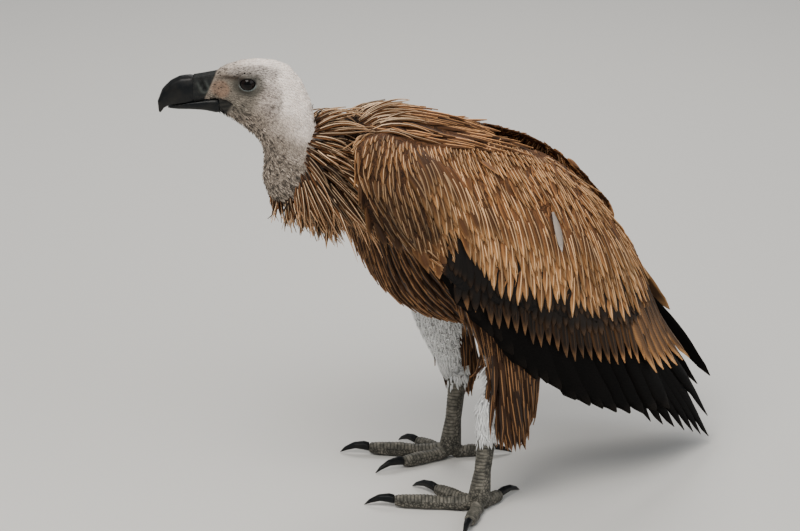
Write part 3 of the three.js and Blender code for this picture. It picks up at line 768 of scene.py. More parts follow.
WING_CREST = [
    # along the wing; height of the crest, where it lies across, how fast it falls away
    (0, 204, 112, 0.0075), (40, 223, 116, 0.0066), (120, 252, 150, 0.0051), (260, 274, 184, 0.0042),
    (400, 252, 190, 0.0037), (520, 216, 176, 0.0028), (600, 199, 180, 0.0021), (670, 178, 165, 0.002),
]
QUILL_RING = [
    (-1, 0, -0.16), (-0.45, 0.7, -0.03), (0, 1.3, 0), (0.45, 0.7, -0.03),
    (1, 0, -0.16), (0.45, -0.7, -0.03), (0, -1, 0), (-0.45, -0.7, -0.03),
]
QUILL_STATIONS = np.linspace(0, 1, 15)
SHAFT_WIDTH = 0.13 * np.interp(QUILL_STATIONS, (0, 0.45, 0.9, 1), (0.4, 1, 0.8, 0.1))
QUILL_SHAFT_FROM = 5            # the station where a long feather's shaft shows
ROOTS_SHOW_AT = (4, 9)          # the stations that give their colour to the skin under a covert
TUCK = 0.13                     # how far a feather leans under the next


def read_rows(rows, at):
    """Values read smoothly from rows of (distance, value, value, ...)."""
    rows = np.array(rows, dtype=float)
    distances, values = rows[:, 0], rows[:, 1:]
    last = len(rows) - 1
    before = np.maximum(np.arange(last + 1) - 1, 0)
    after = np.minimum(np.arange(last + 1) + 1, last)
    slopes = (values[after] - values[before]) / (distances[after] - distances[before])[:, None]
    low = np.clip(np.searchsorted(distances, at) - 1, 0, last - 1)
    reach = (distances[low + 1] - distances[low])[..., None]
    t = np.clip((at - distances[low])[..., None] / reach, 0, 1)
    blend = t * t * (3 - 2 * t)
    bend = t * (1 - t) * ((1 - t) * slopes[low] - t * slopes[low + 1]) * reach
    return np.moveaxis(values[low] * (1 - blend) + values[low + 1] * blend + bend, -1, 0)


def wing_height(p, q):
    height, crest, fall = read_rows(WING_CREST, p)
    return height - fall * (q - crest) ** 2


def along_line(points, shares):
    """Places at shares of the length of a line through points."""
    points = np.array(points, dtype=float)
    lengths = np.concatenate([[0], np.cumsum(np.linalg.norm(np.diff(points, axis=0), axis=1))])
    return np.stack([np.interp(shares * lengths[-1], lengths, points[:, axis]) for axis in (0, 1)], axis=1)


def quill_row(name, matrix, height, tips, headings, lengths, half_width, depths, outline, lean, worn,
              material, slot, level=1.0, shaft=None):
    """A row of long feathers in the plane of a wing or the tail, from their tips and headings."""
    count = len(tips)
    headings = unit(np.array(headings, dtype=float))
    back_from_tip = (lengths[:, None] * (1 - QUILL_STATIONS))[..., None]
    flat = tips[:, None, :] - headings[:, None, :] * back_from_tip
    p, q = flat[..., 0], flat[..., 1]
    depth = depths[0] + (depths[1] - depths[0]) * QUILL_STATIONS
    h = height(p, q) - depth
    slope_p = height(p + 1, q) - height(p - 1, q)
    slope_q = height(p, q + 1) - height(p, q - 1)
    normals = unit(np.stack([-slope_p / 2, lean[:, None] - slope_q / 2, np.ones_like(p)], axis=-1))
    spines = carried(matrix, np.stack([p, q, h], axis=-1))
    normals = unit(normals @ matrix[:3, :3].T)
    ragged = 1 - worn * rng.random((count, len(QUILL_STATIONS))) * QUILL_STATIONS ** 3
    widths = half_width * MM * np.interp(QUILL_STATIONS, *np.transpose(outline)) * ragged
    thick = np.broadcast_to(0.0011 - 0.0007 * QUILL_STATIONS, widths.shape)
    patches = square_of(flat[:, 0])
    tones = tone_of(count, level)
    if slot == "covert":
        for station in ROOTS_SHOW_AT:
            remember(spines[:, station], under_colour[material.name], tones)
    if shaft:
        shaft_widths = np.broadcast_to(half_width * MM * SHAFT_WIDTH, widths.shape)[:, QUILL_SHAFT_FROM:]
        lay_shafts(name, spines, normals, 1.2 * thick, QUILL_SHAFT_FROM, shaft_widths, patches, tones,
                   shaft)
    return feather_piece(name, spines, normals, widths, thick, QUILL_RING, patches, tones, material)


ROUND_TIP = [(0, 0.3), (0.25, 0.75), (0.6, 1), (0.85, 0.92), (0.94, 0.62), (1, 0.08)]
POINTED_TIP = [(0, 0.3), (0.3, 0.9), (0.6, 1), (0.8, 0.72), (0.92, 0.4), (1, 0.05)]
LANCE_TIP = [(0, 0.35), (0.3, 0.9), (0.55, 1), (0.78, 0.8), (0.92, 0.42), (1, 0.04)]
MEDIAN_TIPS = [(34, 118), (60, 104), (100, 94), (149, 90), (215, 74), (277, 92), (344, 121), (400, 152),
               (436, 190)]
UNDER_TIPS = [(160, 62), (188, 55), (222, 58), (277, 80), (318, 93), (349, 106), (382, 123),
              (420, 146), (446, 176)]
# how far each row of coverts lies behind the lowest; feathers, length, half-width, depths
COVERT_ROWS = [
    (0, 40, 92, 8.2, (6.0, 1.2)), (17, 42, 84, 7.6, (5.6, 0.7)), (34, 44, 74, 7.2, (5.2, 0.2)),
    (50, 46, 62, 6.8, (4.8, -0.4)),
]
UNDER_ROWS = [(0, 34, 62, 9.5, (4.2, 5.5)), (14, 34, 54, 9.5, (3.6, 3.0))]
SCATTERED_FROM = 0.048          # metres of room before the lowest row's tips
SHOULDER_END = 135              # along the wing; before it the scattered feathers cover all
EDGE_ON = 0.3                   # skin that faces out of the wing's plane by less is its edge or lining
NO_ROOM = 0.02                  # too near the lowest row's tips for a feather


def covert_lie(p, q):
    """The lie of the coverts in the wing's plane. They hang from its upper edge and then turn
    back, further down and towards the rear."""
    below_edge = np.interp(p, *np.transpose(COVERTS_TOP)) - q
    turn = -4 + 52 * soft(below_edge, -10, 115) - 12 * soft(p, 70, 20)
    turn = np.radians(np.maximum(turn, 57 * soft(p, 205, 320)))
    return np.stack([np.sin(turn), -np.cos(turn)], axis=-1)


covert_vane = vane_material("coverts", (0.12, 0.049, 0.018), (0.37, 0.172, 0.062), (0.44, 0.222, 0.086),
                            0.3, 0.7, variation=0.5)
covert_shaft = shaft_material("covert_shafts", (0.68, 0.42, 0.22), (0.72, 0.47, 0.26), 0.5)
dark_vane = vane_material("under_coverts", (0.006, 0.004, 0.003), (0.016, 0.009, 0.005), (0.03, 0.016, 0.008),
                          sheen=0.0)
for number, side in ((3, "left"), (4, "right")):
    matrix = WING_FRAMES[side]
    inverse = np.linalg.inv(matrix)

    def wing_flow(places, normals, matrix=matrix, inverse=inverse):
        lie = covert_lie(*carried(inverse, places).T[:2])
        return laid_flat(lie @ matrix[:3, :2].T, normals)

    spot_numbers = chosen = np.flatnonzero(spot_owner == number)
    p, q, h = carried(inverse, spots[chosen]).T
    facing = spot_normals[chosen] @ unit(matrix[:3, 2])
    top = np.interp(p, *np.transpose(COVERTS_TOP))
    low = np.interp(p, *np.transpose(COVERTS_LOW))
    down = np.clip((top - q) / (top - low), 0, 1)
    down = np.maximum(down, np.clip((p - 260) / 260, 0, 0.75))
    # how far a feather may reach before it passes the lowest row's tips
    lie = covert_lie(p, q)
    past_low = np.stack([np.interp(p + lie[:, 0] * far, *np.transpose(MEDIAN_TIPS))
                         - (q + lie[:, 1] * far) for far in LOOK_AHEAD])
    room = np.where(past_low.max(axis=0) > 0, LOOK_AHEAD[np.argmax(past_low > 0, axis=0)] * MM, 0.12)
    on_shoulder = p < SHOULDER_END
    chosen = chosen[(((room > SCATTERED_FROM) | (facing < EDGE_ON)) & (room > NO_ROOM)) | on_shoulder]
    sizes = dict(zip(spot_numbers, zip(down, p, q, room)))
    down, p, q, room = np.array([sizes[number] for number in chosen]).T
    chosen, directions, across, along = tract(
        chosen, wing_flow, 0.0042 + 0.0026 * down, 0.007 + 0.008 * down * (1 - 0.3 * soft(p, 150, 100)))
    down, p, q, room = np.array([sizes[number] for number in chosen]).T
    # the coverts darken at the wing's front and lowest on the shoulder: partly their own dark brown, partly
    # painted shade in the fold between the breast and the wing
    shoulder = soft(p, 150, 100)
    front_shade_and_dark = soft(p, 100, 40)
    lower = soft(q, 152, 108)
    lay_feathers(
        "coverts_" + side, body_surface, spots[chosen], directions,
        (np.clip(room + 0.006 + 0.03 * shoulder, 0.024, (3.8 + 0.6 * shoulder) * along), 0.8 * across,
         0.0042 - 0.0012 * shoulder), wing_flow, np.stack([p, q], axis=1),
        tone_of(len(p), 1.12 - 0.3 * front_shade_and_dark - 0.72 * lower * soft(p, 130, 88) + 0.25 * front_shade_and_dark * lower),
        (covert_vane, covert_shaft), streak=0.16, loose=np.where(shoulder > 0.2, 0.016, 0.0065),
    )
    for prefix, edge, rows, vanes, paler, first in (
        ("median", MEDIAN_TIPS, COVERT_ROWS, (covert_vane, covert_shaft), 0.1, 80),
        ("under", UNDER_TIPS, UNDER_ROWS, (dark_vane, None), 2.5, 150),
    ):
        for row, (behind, count, length, half_width, depths) in enumerate(rows):
            places = along_line(edge, (np.arange(count) + 0.5 * (row % 2)) / (count - 0.5))
            lie = covert_lie(*places.T)
            tips = places + lie * (rng.uniform(-5, 10, (count, 1)) - behind)
            tips = tips[tips[:, 0] > first]
            half_way = tips - 0.5 * length * covert_lie(*tips.T)
            headings = covert_lie(*half_way.T) + rng.normal(0, 0.06, tips.shape)
            reach = length * (0.62 + 0.38 * soft(tips[:, 0], 40, 150)) * rng.uniform(0.9, 1.08, len(tips))
            # the rows darken towards the wing's front, partly in their own colour and partly as painted shade
            # in the fold between the breast and the wing; to the rear they pale in their own colour
            shade = (1 - 0.3 * soft(tips[:, 0], 165, 110)) * (1 + paler * soft(tips[:, 0], 240, 440))
            quill_row(
                f"{prefix}_coverts_{row}_{side}", matrix, wing_height, tips, headings, reach, half_width,
                depths, LANCE_TIP, np.full(len(tips), 0.1), 0.25, vanes[0], "covert", shade, vanes[1],
            )

# one bleached feather lies among the left wing's coverts
bleached = vane_material("bleached_feather", (0.36, 0.3, 0.25), (0.5, 0.44, 0.39), (0.56, 0.5, 0.45))
quill_row("bleached_covert", WING_FRAMES["left"], wing_height, np.array([[262.0, 144.0]]), [(0.63, -0.77)],
          np.array([46.0]), 5.5, (1.5, -2.6), LANCE_TIP, np.zeros(1), 0.1, bleached, "covert")

# ---- Greater coverts and flight feathers ----
# Rows of long stiff feathers leave the wing's rear edge, each row under the one before. In a row
# every feather tucks its upper edge under the next. Worn tips are ragged.

GREATER_TIPS = [(186, 58), (250, 62), (322, 76), (390, 98), (448, 130), (500, 168), (524, 208)]
SECONDARY_TIPS = [(206, 60), (240, 56), (300, 55), (360, 58), (420, 67), (474, 80), (516, 101), (556, 138)]
PRIMARY_TIPS = [(540, 110), (586, 131), (628, 150), (662, 163), (655, 188)]
TERTIAL_TIPS = [(500, 150), (540, 184), (562, 212)]

greater_vane = vane_material("greater_coverts", (0.011, 0.006, 0.003), (0.075, 0.035, 0.014),
                             (0.26, 0.125, 0.048), 0.4, 0.84, variation=0.5)
greater_shaft = shaft_material("greater_shafts", (0.045, 0.023, 0.011), (0.36, 0.2, 0.09))
tertial_vane = vane_material("tertials", (0.05, 0.025, 0.011), (0.2, 0.098, 0.038), (0.34, 0.175, 0.07),
                             edge_start=0.4)
flight_vane = vane_material("flight_feathers", (0.0028, 0.0023, 0.0021), (0.0045, 0.0034, 0.003),
                            (0.009, 0.0065, 0.005), 0.6, 0.9, 0.25, 0.7, 0.0, 0.06)
for side, matrix in WING_FRAMES.items():
    for row, edge, count, heading, length, half_width, depths, outline, worn, vane, shaft, slot in (
        ("greater_coverts", GREATER_TIPS, 30, (0.87, -0.49), 110, 9, (10, 6.5), LANCE_TIP, 0.4,
         greater_vane, greater_shaft, "greater"),
        ("tertials", TERTIAL_TIPS, 6, (0.97, -0.22), 165, 15, (11, 5), POINTED_TIP, 0.4,
         tertial_vane, greater_shaft, "greater"),
        ("secondaries", SECONDARY_TIPS, 17, (0.96, -0.28), 205, 21, (17, 12), ROUND_TIP, 0.5,
         flight_vane, None, "quill"),
        ("primaries", PRIMARY_TIPS, 8, (0.97, -0.16), 250, 16, (21, 16), POINTED_TIP, 0.4,
         flight_vane, None, "quill"),
    ):
        tips = along_line(edge, np.linspace(0, 1, count))
        headings = np.array([heading]) + np.stack([np.zeros(count), np.linspace(-0.05, 0.07, count)], axis=1)
        headings = headings + rng.normal(0, 0.025, (count, 2))
        reach = unit(headings) * rng.uniform(2, 13, (count, 1))
        shade = 0.8 + 1.6 * soft(tips[:, 0], 350, 500) if shaft else 1.0
        piece = quill_row(
            f"{row}_{side}", matrix, wing_height, tips + reach, headings,
            length * rng.uniform(0.96, 1.04, count), half_width, depths, outline,
            np.full(count, TUCK), worn, vane, slot, shade, shaft,
        )
        if row != "tertials":
            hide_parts(f"wing_{side}_{row}")

# ---- Tail ----
# Twelve stiff feathers fan out a little from the rump, the middle pair on top.

TAIL_ROOT = 362
TAIL_TIP = 622
TAIL_FEATHERS = 12
tail_plane = Matrix((wing_along, Vector((-1, 0, 0)), wing_above)).transposed().to_4x4()
tail_plane.translation = wing_along * -WING_START


def tail_height(p, q):
    return 268 - 0.075 * (p - TAIL_ROOT) - 0.0105 * q ** 2


shares = np.linspace(-1, 1, TAIL_FEATHERS)
tail_tips = np.stack([TAIL_TIP - 14 * shares ** 2, 40 * shares], axis=1)
tail_headings = np.stack([np.ones(TAIL_FEATHERS), 0.13 * shares], axis=1)
tail = quill_row(
    "tail_feathers", np.array(to_metres @ tail_plane), tail_height,
    tail_tips + rng.uniform(-4, 6, (TAIL_FEATHERS, 1)) * (1, 0), tail_headings,
    np.full(TAIL_FEATHERS, 250.0), 15, (8, 3), ROUND_TIP, -TUCK * np.sign(shares), 0.5, flight_vane, "quill",
)
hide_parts("tail")

# ---- Head and neck skin ----
# Thin skin covers the skull, the neck and the cere over the bill's root. It has lids round the
# eyes, a brow, slit nostrils, the corner of the gape, an ear opening and folds on the throat.

HEAD_NODES = ["head", "neck_upper", "neck_lower", "cere"]
HEAD_VOXEL = 0.0011
EYE_RADIUS = 11
EYE_SIDE = (middle("eye_left") - middle("eye_right")).length / 2 / MM
LID_TURNS = 28
LID_INNER = (7.9, 6.1)          # half the lids' opening, along and up
LID_OUTER = 11.9
# the lids' section: share of the way out from the opening, height over the eyeball
LID_SECTION = [(0, 0.35), (0.1, 1.2), (0.35, 1.4), (0.7, 0.9), (1, 0.6), (1, -2.5), (0.3, -1.5), (0.02, -0.5)]


def eye_frame(side):
    """The eyeball's middle, with X along the eye's axis, Y ahead and Z up."""
    ahead = turn_head @ Vector((0, -1, 0))
    outward = turn_head @ Vector((side, 0, 0))
    frame_of_eye = Matrix((outward, ahead, Vector((0, 0, 1)))).transposed().to_4x4()
    frame_of_eye.translation = in_head(EYE_AHEAD, EYE_UP, side * EYE_SIDE)
    return frame_of_eye @ Matrix.Diagonal((MM, MM, MM, 1))


def lids(side):
    """A soft ring over the eyeball with an almond opening."""
    bm = bmesh.new()
    rings = []
    for reach, height in LID_SECTION:
        ring = []
        for turn in range(LID_TURNS):
            angle = turn / LID_TURNS * math.tau
            inner = Vector((LID_INNER[0] * math.cos(angle), LID_INNER[1] * math.sin(angle)))
            outer = Vector((math.cos(angle), math.sin(angle))) * LID_OUTER
            flat = inner.lerp(outer, reach)
            radius = EYE_RADIUS + 0.2 + height
            depth = math.sqrt(max(radius ** 2 - flat.length_squared, 0))
            ring.append(bm.verts.new((depth, flat.x, flat.y)))
        rings.append(ring)
    for ring, beyond in zip(rings, rings[1:] + rings[:1]):
        for turn in range(LID_TURNS):
            after = (turn + 1) % LID_TURNS
            bm.faces.new((ring[turn], ring[after], beyond[after], beyond[turn]))
    bmesh.ops.transform(bm, matrix=eye_frame(side), verts=bm.verts)
    bmesh.ops.recalc_face_normals(bm, faces=bm.faces)
    return bm


head_whole = gathered(HEAD_NODES)
for side in (-1, 1):
    joined(head_whole, lids(side))
head_mesh = remeshed("head_skin", head_whole, HEAD_VOXEL, 5)

to_head = np.array((Matrix.Translation(in_head(0, 0)) @ turn_head.to_4x4()
                    @ Matrix.Diagonal((MM, MM, MM, 1))).inverted())


def head_axes(places):
    """Distances in millimetres ahead of, above and to the left of the skull's middle."""
    side, behind, up = carried(to_head, places).T
    return -behind, up, side


def near_line(ahead, up, start, end):
    """Distance in the head's side view from a straight line."""
    spot = np.stack([ahead, up], axis=1)
    start, end = np.array(start, dtype=float), np.array(end, dtype=float)
    share = np.clip((spot - start) @ (end - start) / np.sum((end - start) ** 2), 0, 1)
    return np.linalg.norm(spot - start - share[:, None] * (end - start), axis=1)


def bell(distance, width):
    return np.exp(-(distance / width) ** 2)


def round_mask(ahead, up, at, size):
    """1 inside an ellipse in the head's side view, falling softly to 0 outside."""
    return soft(np.hypot((ahead - at[0]) / size[0], (up - at[1]) / size[1]), 1.15, 0.65)


MOUTH = [(15.7, -16.5), (22, -12.8), (30, -11.5), (44, -12.5), (52, -14.5)]
EAR = (-29.5, -17.5)
BROW = ((17, 15.5), (-12, 17))
NOSTRIL = ((50.5, 10), (45.5, -0.5))


def face_parts(places):
    """Distances and masks in the head's side view that the skin's shape and colours share."""
    ahead, up, side = head_axes(places)
    mouth = np.interp(ahead, *np.transpose(MOUTH))
    lid_ring = np.hypot((ahead - EYE_AHEAD) / LID_INNER[0], (up - EYE_UP) / LID_INNER[1])
    behind_mouth = soft(ahead, 13 + 0.4 * np.maximum(mouth - up, 0), 17 + 0.4 * np.maximum(mouth - up, 0))
    return {
        "ahead": ahead, "up": up, "side": side,
        "on_side": soft(np.abs(side), 5, 13),
        "lids": lid_ring,
        "mouth": np.where(ahead > 15, np.abs(up - mouth), np.hypot(ahead - 15.7, up + 16.5)),
        "jaw": soft(mouth - up, -0.4, 0.8) * behind_mouth,
        "nostril": near_line(ahead, up, *NOSTRIL),
        "cere": soft(ahead - 32 - 0.46 * np.clip(18 - up, 0, 30), -0.8, 1.2),
        "ear": np.hypot(ahead - EAR[0], up - EAR[1]),
        "throat": 0.77 * ahead - 0.63 * up,
    }


places, normals = corners_of(head_mesh)
face = face_parts(places)
ahead, up, side = face["ahead"], face["up"], face["side"]
shape = 1.5 * bell(near_line(ahead, up, *BROW), 3.0) - 1.1 * bell(face["mouth"], 1.3) * (ahead < 60)
shape -= 0.9 * face["jaw"] + 0.5 * face["cere"] * bell(ahead - 33, 2.0)
shape -= 1.6 * bell(face["ear"], 2.4) - 0.7 * bell(face["ear"] - 5.5, 1.8)
shape -= 1.0 * bell(np.hypot(ahead - 24, up - 4), 7) + 0.5 * bell(face["lids"] - 1.75, 0.18)
shape -= 1.8 * bell(face["nostril"], 1.6) - 0.7 * bell(face["nostril"] - 4.2, 1.4)
shape += 0.45 * bell(ahead - 58, 2.0)
shape *= face["on_side"]
folds = np.sin(0.95 * (0.63 * ahead + 0.77 * up) + 1.7 * np.sin(0.21 * side + 0.13 * ahead))
shape += 0.45 * folds * soft(face["throat"], 0, 20) * soft(-up, 22, 42)
set_in(head_mesh, 0.0006 - shape * MM)
head_surface = surface_of(head_mesh)


# the middle of the ruff, and the way the neck leaves it
RUFF_AT = np.array([0, -186, 424])
RUFF_AHEAD = unit(np.array([0, -0.95, 0.32]))


def face_marks(places):
    """The skin's colour at places on the head and neck, and how much it is speckled."""
    face = face_parts(places)
    ahead, up, side = face["ahead"], face["up"], face["side"]
    wander = 5 * np.sin(0.13 * ahead + 0.9) * np.sin(0.11 * up + 0.4 * np.sign(side))
    wander = wander + 4 * np.sin(0.21 * up - 0.17 * side)
    marks = np.tile((0.96, 0.85, 0.76, 0.05), (len(places), 1))

    def add(mask, colour, speckle):
        marks[:] += np.reshape(mask, (-1, 1)) * (np.array((*colour, speckle)) - marks)

    front = soft(face["throat"] + wander, -14, 16)
    add(front, (0.33, 0.27, 0.22), 0.62)
    add(0.7 * soft(face["throat"] + wander, -34, -8), (0.60, 0.50, 0.42), 0.4)
    add(front, (0.31, 0.255, 0.205), 0.72)
    on_side = face["on_side"]
    add(0.85 * on_side * round_mask(ahead, up, (13, -7), (30, 24)), (0.165, 0.145, 0.115), 0.45)
    add(0.75 * on_side * round_mask(ahead, up, (-8, 19), (32, 8)), (0.34, 0.30, 0.27), 0.8)
    add(0.6 * on_side * round_mask(ahead, up, (-28, -8), (13, 26)), (0.36, 0.30, 0.26), 0.8)
    add(0.75 * on_side * round_mask(ahead, up, (29, 0), (12, 11)), (0.24, 0.145, 0.095), 0.3)
    add(0.9 * on_side * round_mask(ahead, up, (-3, 6.5), (21, 14.5)), (0.05, 0.048, 0.038), 0.4)
    # a dark line from over the eye towards the cere is painted shade under the brow ridge
    add(0.9 * on_side * bell(near_line(ahead, up, (2, 14), (33, 13)), 3.0), (0.025, 0.015, 0.009), 0.1)
    # a near-black line over the upper lid is painted shadow of the brow
    add(0.95 * on_side * bell(face["lids"] - 1.1, 0.16) * (up > EYE_UP), (0.012, 0.011, 0.010), 0.0)
    add(0.9 * on_side * bell(face["lids"] - 1.16, 0.14) * soft(EYE_UP - up, 0, 3), (0.16, 0.185, 0.18), 0.0)
    # the ear opening's dark middle is painted shade inside the hole
    add(0.8 * on_side * bell(face["ear"], 3.2), (0.035, 0.028, 0.024), 0.2)
    add(face["cere"], (0.009, 0.0105, 0.0105), 0.2)
    round_nostril = 0.55 * face["cere"] * on_side * bell(face["nostril"] - 4.4, 1.7)
    add(round_nostril * soft(up, 12, 2), (0.08, 0.09, 0.08), 0.1)
    # the nostril slit's near-black is painted shade inside the hole
    add(face["cere"] * on_side * bell(face["nostril"], 2.3), (0.002, 0.002, 0.002), 0.0)
    stripes = 0.5 + 0.5 * np.sin(1.1 * up + 0.35 * ahead)
    add(face["jaw"], (0.008, 0.008, 0.0075), 0.1)
    add(0.2 * stripes * face["jaw"] * soft(ahead, 44, 26), (0.09, 0.085, 0.07), 0.1)
    add(on_side * bell(face["mouth"], 1.1) * (ahead < 60), (0.006, 0.005, 0.005), 0.0)
    add(soft((RUFF_AT - (places - ORIGIN) / MM) @ RUFF_AHEAD, -14, 2), (0.06, 0.028, 0.012), 0.0)
    return marks


coloured(head_mesh, "Marks", face_marks(corners_of(head_mesh)[0]))

head_group, given, result = new_group("head markings", [], [("Color", "Color"), ("Height", "Float")])
head_marks = node(head_group, "ShaderNodeAttribute", attribute_name="Marks")
coarse = ramp(head_group, noise(head_group, 330.0, 3.0, 0.65), 0.5, 0.6)
fine = ramp(head_group, noise(head_group, 720.0, 2.0, 0.7), 0.5, 0.62)
speckle = sum_of(head_group, "MAXIMUM", coarse, sum_of(head_group, "MULTIPLY", fine, 0.8))
mottle = sum_of(head_group, "MULTIPLY_ADD", noise(head_group, 120.0, 3.0), 0.5, 0.75)
colour = mixed(head_group, sum_of(head_group, "MULTIPLY", speckle, head_marks.outputs["Alpha"]),
               head_marks.outputs["Color"], (0.055, 0.048, 0.042, 1))
feed(head_group, result["Color"], shaded(head_group, colour, mottle))
feed(head_group, result["Height"], noise(head_group, 900.0, 3.0, 0.6))


def head_material(name, roughness, depth):
    material, tree, shader = new_material(name, roughness, Sheen_Weight=0.05, Specular_IOR_Level=0.16)
    marks = node(tree, "ShaderNodeGroup", node_tree=head_group)
    feed(tree, shader.inputs["Base Color"], marks.outputs["Color"])
    raise_grain(tree, shader, marks.outputs["Height"], 0.6, depth)
    return material


head_skin = put_in_scene("head_skin", head_mesh, head_material("head_skin", 0.7, 0.0008))
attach(head_skin, "root")
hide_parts(*HEAD_NODES)

# ---- Eyes ----
# Wet dark balls with a slight bulge over a brown-black iris.

iris_material, iris_tree, iris_shader = new_material("eye", 0.1, Specular_IOR_Level=0.16)
for label, side in (("left", 1), ("right", -1)):
    bm = bmesh.new()
    bmesh.ops.create_uvsphere(bm, u_segments=32, v_segments=20, radius=EYE_RADIUS - 0.1)
    bmesh.ops.rotate(bm, verts=bm.verts, matrix=Matrix.Rotation(math.radians(90), 3, "Y"))
    for vert in bm.verts:
        off_axis = math.hypot(vert.co.y, vert.co.z)
        if vert.co.x > 0:
            vert.co.x += 0.7 * math.exp(-(off_axis / 4.5) ** 2)
    bmesh.ops.transform(bm, matrix=eye_frame(side), verts=bm.verts)
    bmesh.ops.recalc_face_normals(bm, faces=bm.faces)
    ball = mesh_from("eye", bm)
    ball.shade_smooth()
    eye = put_in_scene(f"eyeball_{label}", ball, iris_material)
    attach(eye, "root")
    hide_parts(f"eye_{label}")
iris_ahead = node(iris_tree, "ShaderNodeMapping", vector_type="TEXTURE")
iris_ahead.inputs["Location"].default_value = in_head(EYE_AHEAD, EYE_UP)
iris_ahead.inputs["Rotation"].default_value = (0, 0, HEAD_TURN)
feed(iris_tree, iris_ahead.inputs["Vector"], own_place(iris_tree))
iris_axes = axes_of(iris_tree, iris_ahead.outputs[0])
squares = [sum_of(iris_tree, "POWER", iris_axes[axis], 2.0) for axis in (1, 2)]
off_axis = sum_of(iris_tree, "SQRT", sum_of(iris_tree, "ADD", *squares))
iris_colour = (0.001, 0.001, 0.001, 1)
for low, high, beyond in (
    (0.0036, 0.0042, (0.007, 0.004, 0.003, 1)),      # the pupil's edge
    (0.0066, 0.0074, (0.004, 0.004, 0.004, 1)),      # the iris's edge
):
    iris_colour = mixed(iris_tree, ramp(iris_tree, off_axis, low, high), iris_colour, beyond)
feed(iris_tree, iris_shader.inputs["Base Color"], iris_colour)

# ---- Bill ----
# Dark horn over the upper and lower jaw, smooth and faintly streaked along its length. Its root
# is seated under the edge of the cere and of the jaw's skin.

BILL_VOXEL = 0.0008
BILL_SMOOTHING = 24             # passes over all but the hook
HOOK_FROM = 88                  # ahead of the skull's middle; the hook's tip stays sharp
SEAT = 2.0                      # how far a bill's root goes in under the skin

horn, horn_tree, horn_shader = new_material("horn", 0.36, Specular_IOR_Level=0.2)
horn_marks = ramp(horn_tree, noise(horn_tree, 90.0, 4.0, 0.6), 0.35, 0.7)
feed(horn_tree, horn_shader.inputs["Base Color"],
     mixed(horn_tree, horn_marks, (0.0035, 0.0045, 0.0055, 1), (0.011, 0.0105, 0.0095, 1)))
raise_grain(horn_tree, horn_shader, noise(horn_tree, 360.0, 4.0, 0.6), 0.5, 0.0002)
for name, nodes, root in (("upper_bill", ["bill_upper"], 61.0), ("lower_bill", ["bill_lower"], 33.0)):
    bm = bmesh.new()
    bm.from_mesh(remeshed(name, gathered(nodes), BILL_VOXEL, 9))
    ahead = head_axes(np.array([vert.co for vert in bm.verts]))[0]
    blunt = [vert for vert, distance in zip(bm.verts, ahead) if distance < HOOK_FROM]
    for _ in range(BILL_SMOOTHING):
        bmesh.ops.smooth_vert(bm, verts=blunt, factor=0.5, use_axis_x=True, use_axis_y=True, use_axis_z=True)
    mesh = mesh_from(name, bm)
    mesh.shade_smooth()
    places, normals = corners_of(mesh)
    seated = soft(root - head_axes(places)[0], 0.0, 1.5)[:, None] * SEAT * MM
    places = places - seated * np.array(turn_head @ Vector((0, -1, 0)))
    mesh.vertices.foreach_set("co", places.ravel())
    part = put_in_scene(name, mesh, horn)
    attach(part, "root")
    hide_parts(*nodes)

# ---- Feet ----
# Each shank and its toes share one scaly skin, with broad plates on top of the toes and down the
# front of the shank, and small round scales elsewhere. The claws are separate dark horn.

FOOT_VOXEL = 0.0012
CLAW_VOXEL = 0.0008
SCUTE = 4.2                     # length of a plate, in millimetres
SCUTE_HEIGHT = 0.35
TOE_TOP = (34, 26)              # heights between which the shank goes over into the toes
TOES = ("middle", "inner", "outer", "hind")
DOWNY_FROM = 0.104              # metres above the floor, where the skin turns white
DOWN_WHITE = (0.72, 0.72, 0.71, 1)

foot_group, given, result = new_group(
    "foot scales", [("Dark", "Color", GREY), ("Light", "Color", GREY)],
    [("Color", "Color"), ("Height", "Float")],
)
cells = node(foot_group, "ShaderNodeTexVoronoi", feature="DISTANCE_TO_EDGE")
cells.inputs["Scale"].default_value = 300.0
feed(foot_group, cells.inputs["Vector"], own_place(foot_group))
plates = kept_values(foot_group, "Plates")
scales = ramp(foot_group, cells.outputs["Distance"], 0.02, 0.2)
groove = sum_of(foot_group, "SUBTRACT", sum_of(foot_group, "FRACT", plates[0]), 0.5)
plate = ramp(foot_group, sum_of(foot_group, "ABSOLUTE", groove), 0.5, 0.34)
unplated = sum_of(foot_group, "SUBTRACT", 1.0, plates[1])
raised = sum_of(foot_group, "ADD", sum_of(foot_group, "MULTIPLY", plate, plates[1]),
                sum_of(foot_group, "MULTIPLY", scales, unplated))
worn = ramp(foot_group, noise(foot_group, 130.0, 4.0, 0.6), 0.35, 0.7)
feed(foot_group, result["Color"], shaded(
    foot_group, mixed(foot_group, worn, given["Dark"], given["Light"]),
    sum_of(foot_group, "MULTIPLY_ADD", raised, 0.85, 0.3)))
feed(foot_group, result["Height"], raised)

foot_skin, foot_tree, foot_shader = new_material("foot_skin", 0.62, Specular_IOR_Level=0.3)
foot_marks = node(foot_tree, "ShaderNodeGroup", node_tree=foot_group)
downy = ramp(foot_tree, axes_of(foot_tree, own_place(foot_tree))["Z"], DOWNY_FROM, DOWNY_FROM + 0.006)
foot_marks.inputs["Dark"].default_value = (0.055, 0.052, 0.042, 1)
foot_marks.inputs["Light"].default_value = (0.17, 0.155, 0.125, 1)
feed(foot_tree, foot_shader.inputs["Base Color"],
     mixed(foot_tree, downy, foot_marks.outputs["Color"], DOWN_WHITE))
raise_grain(foot_tree, foot_shader, foot_marks.outputs["Height"], 0.8, 0.0007)

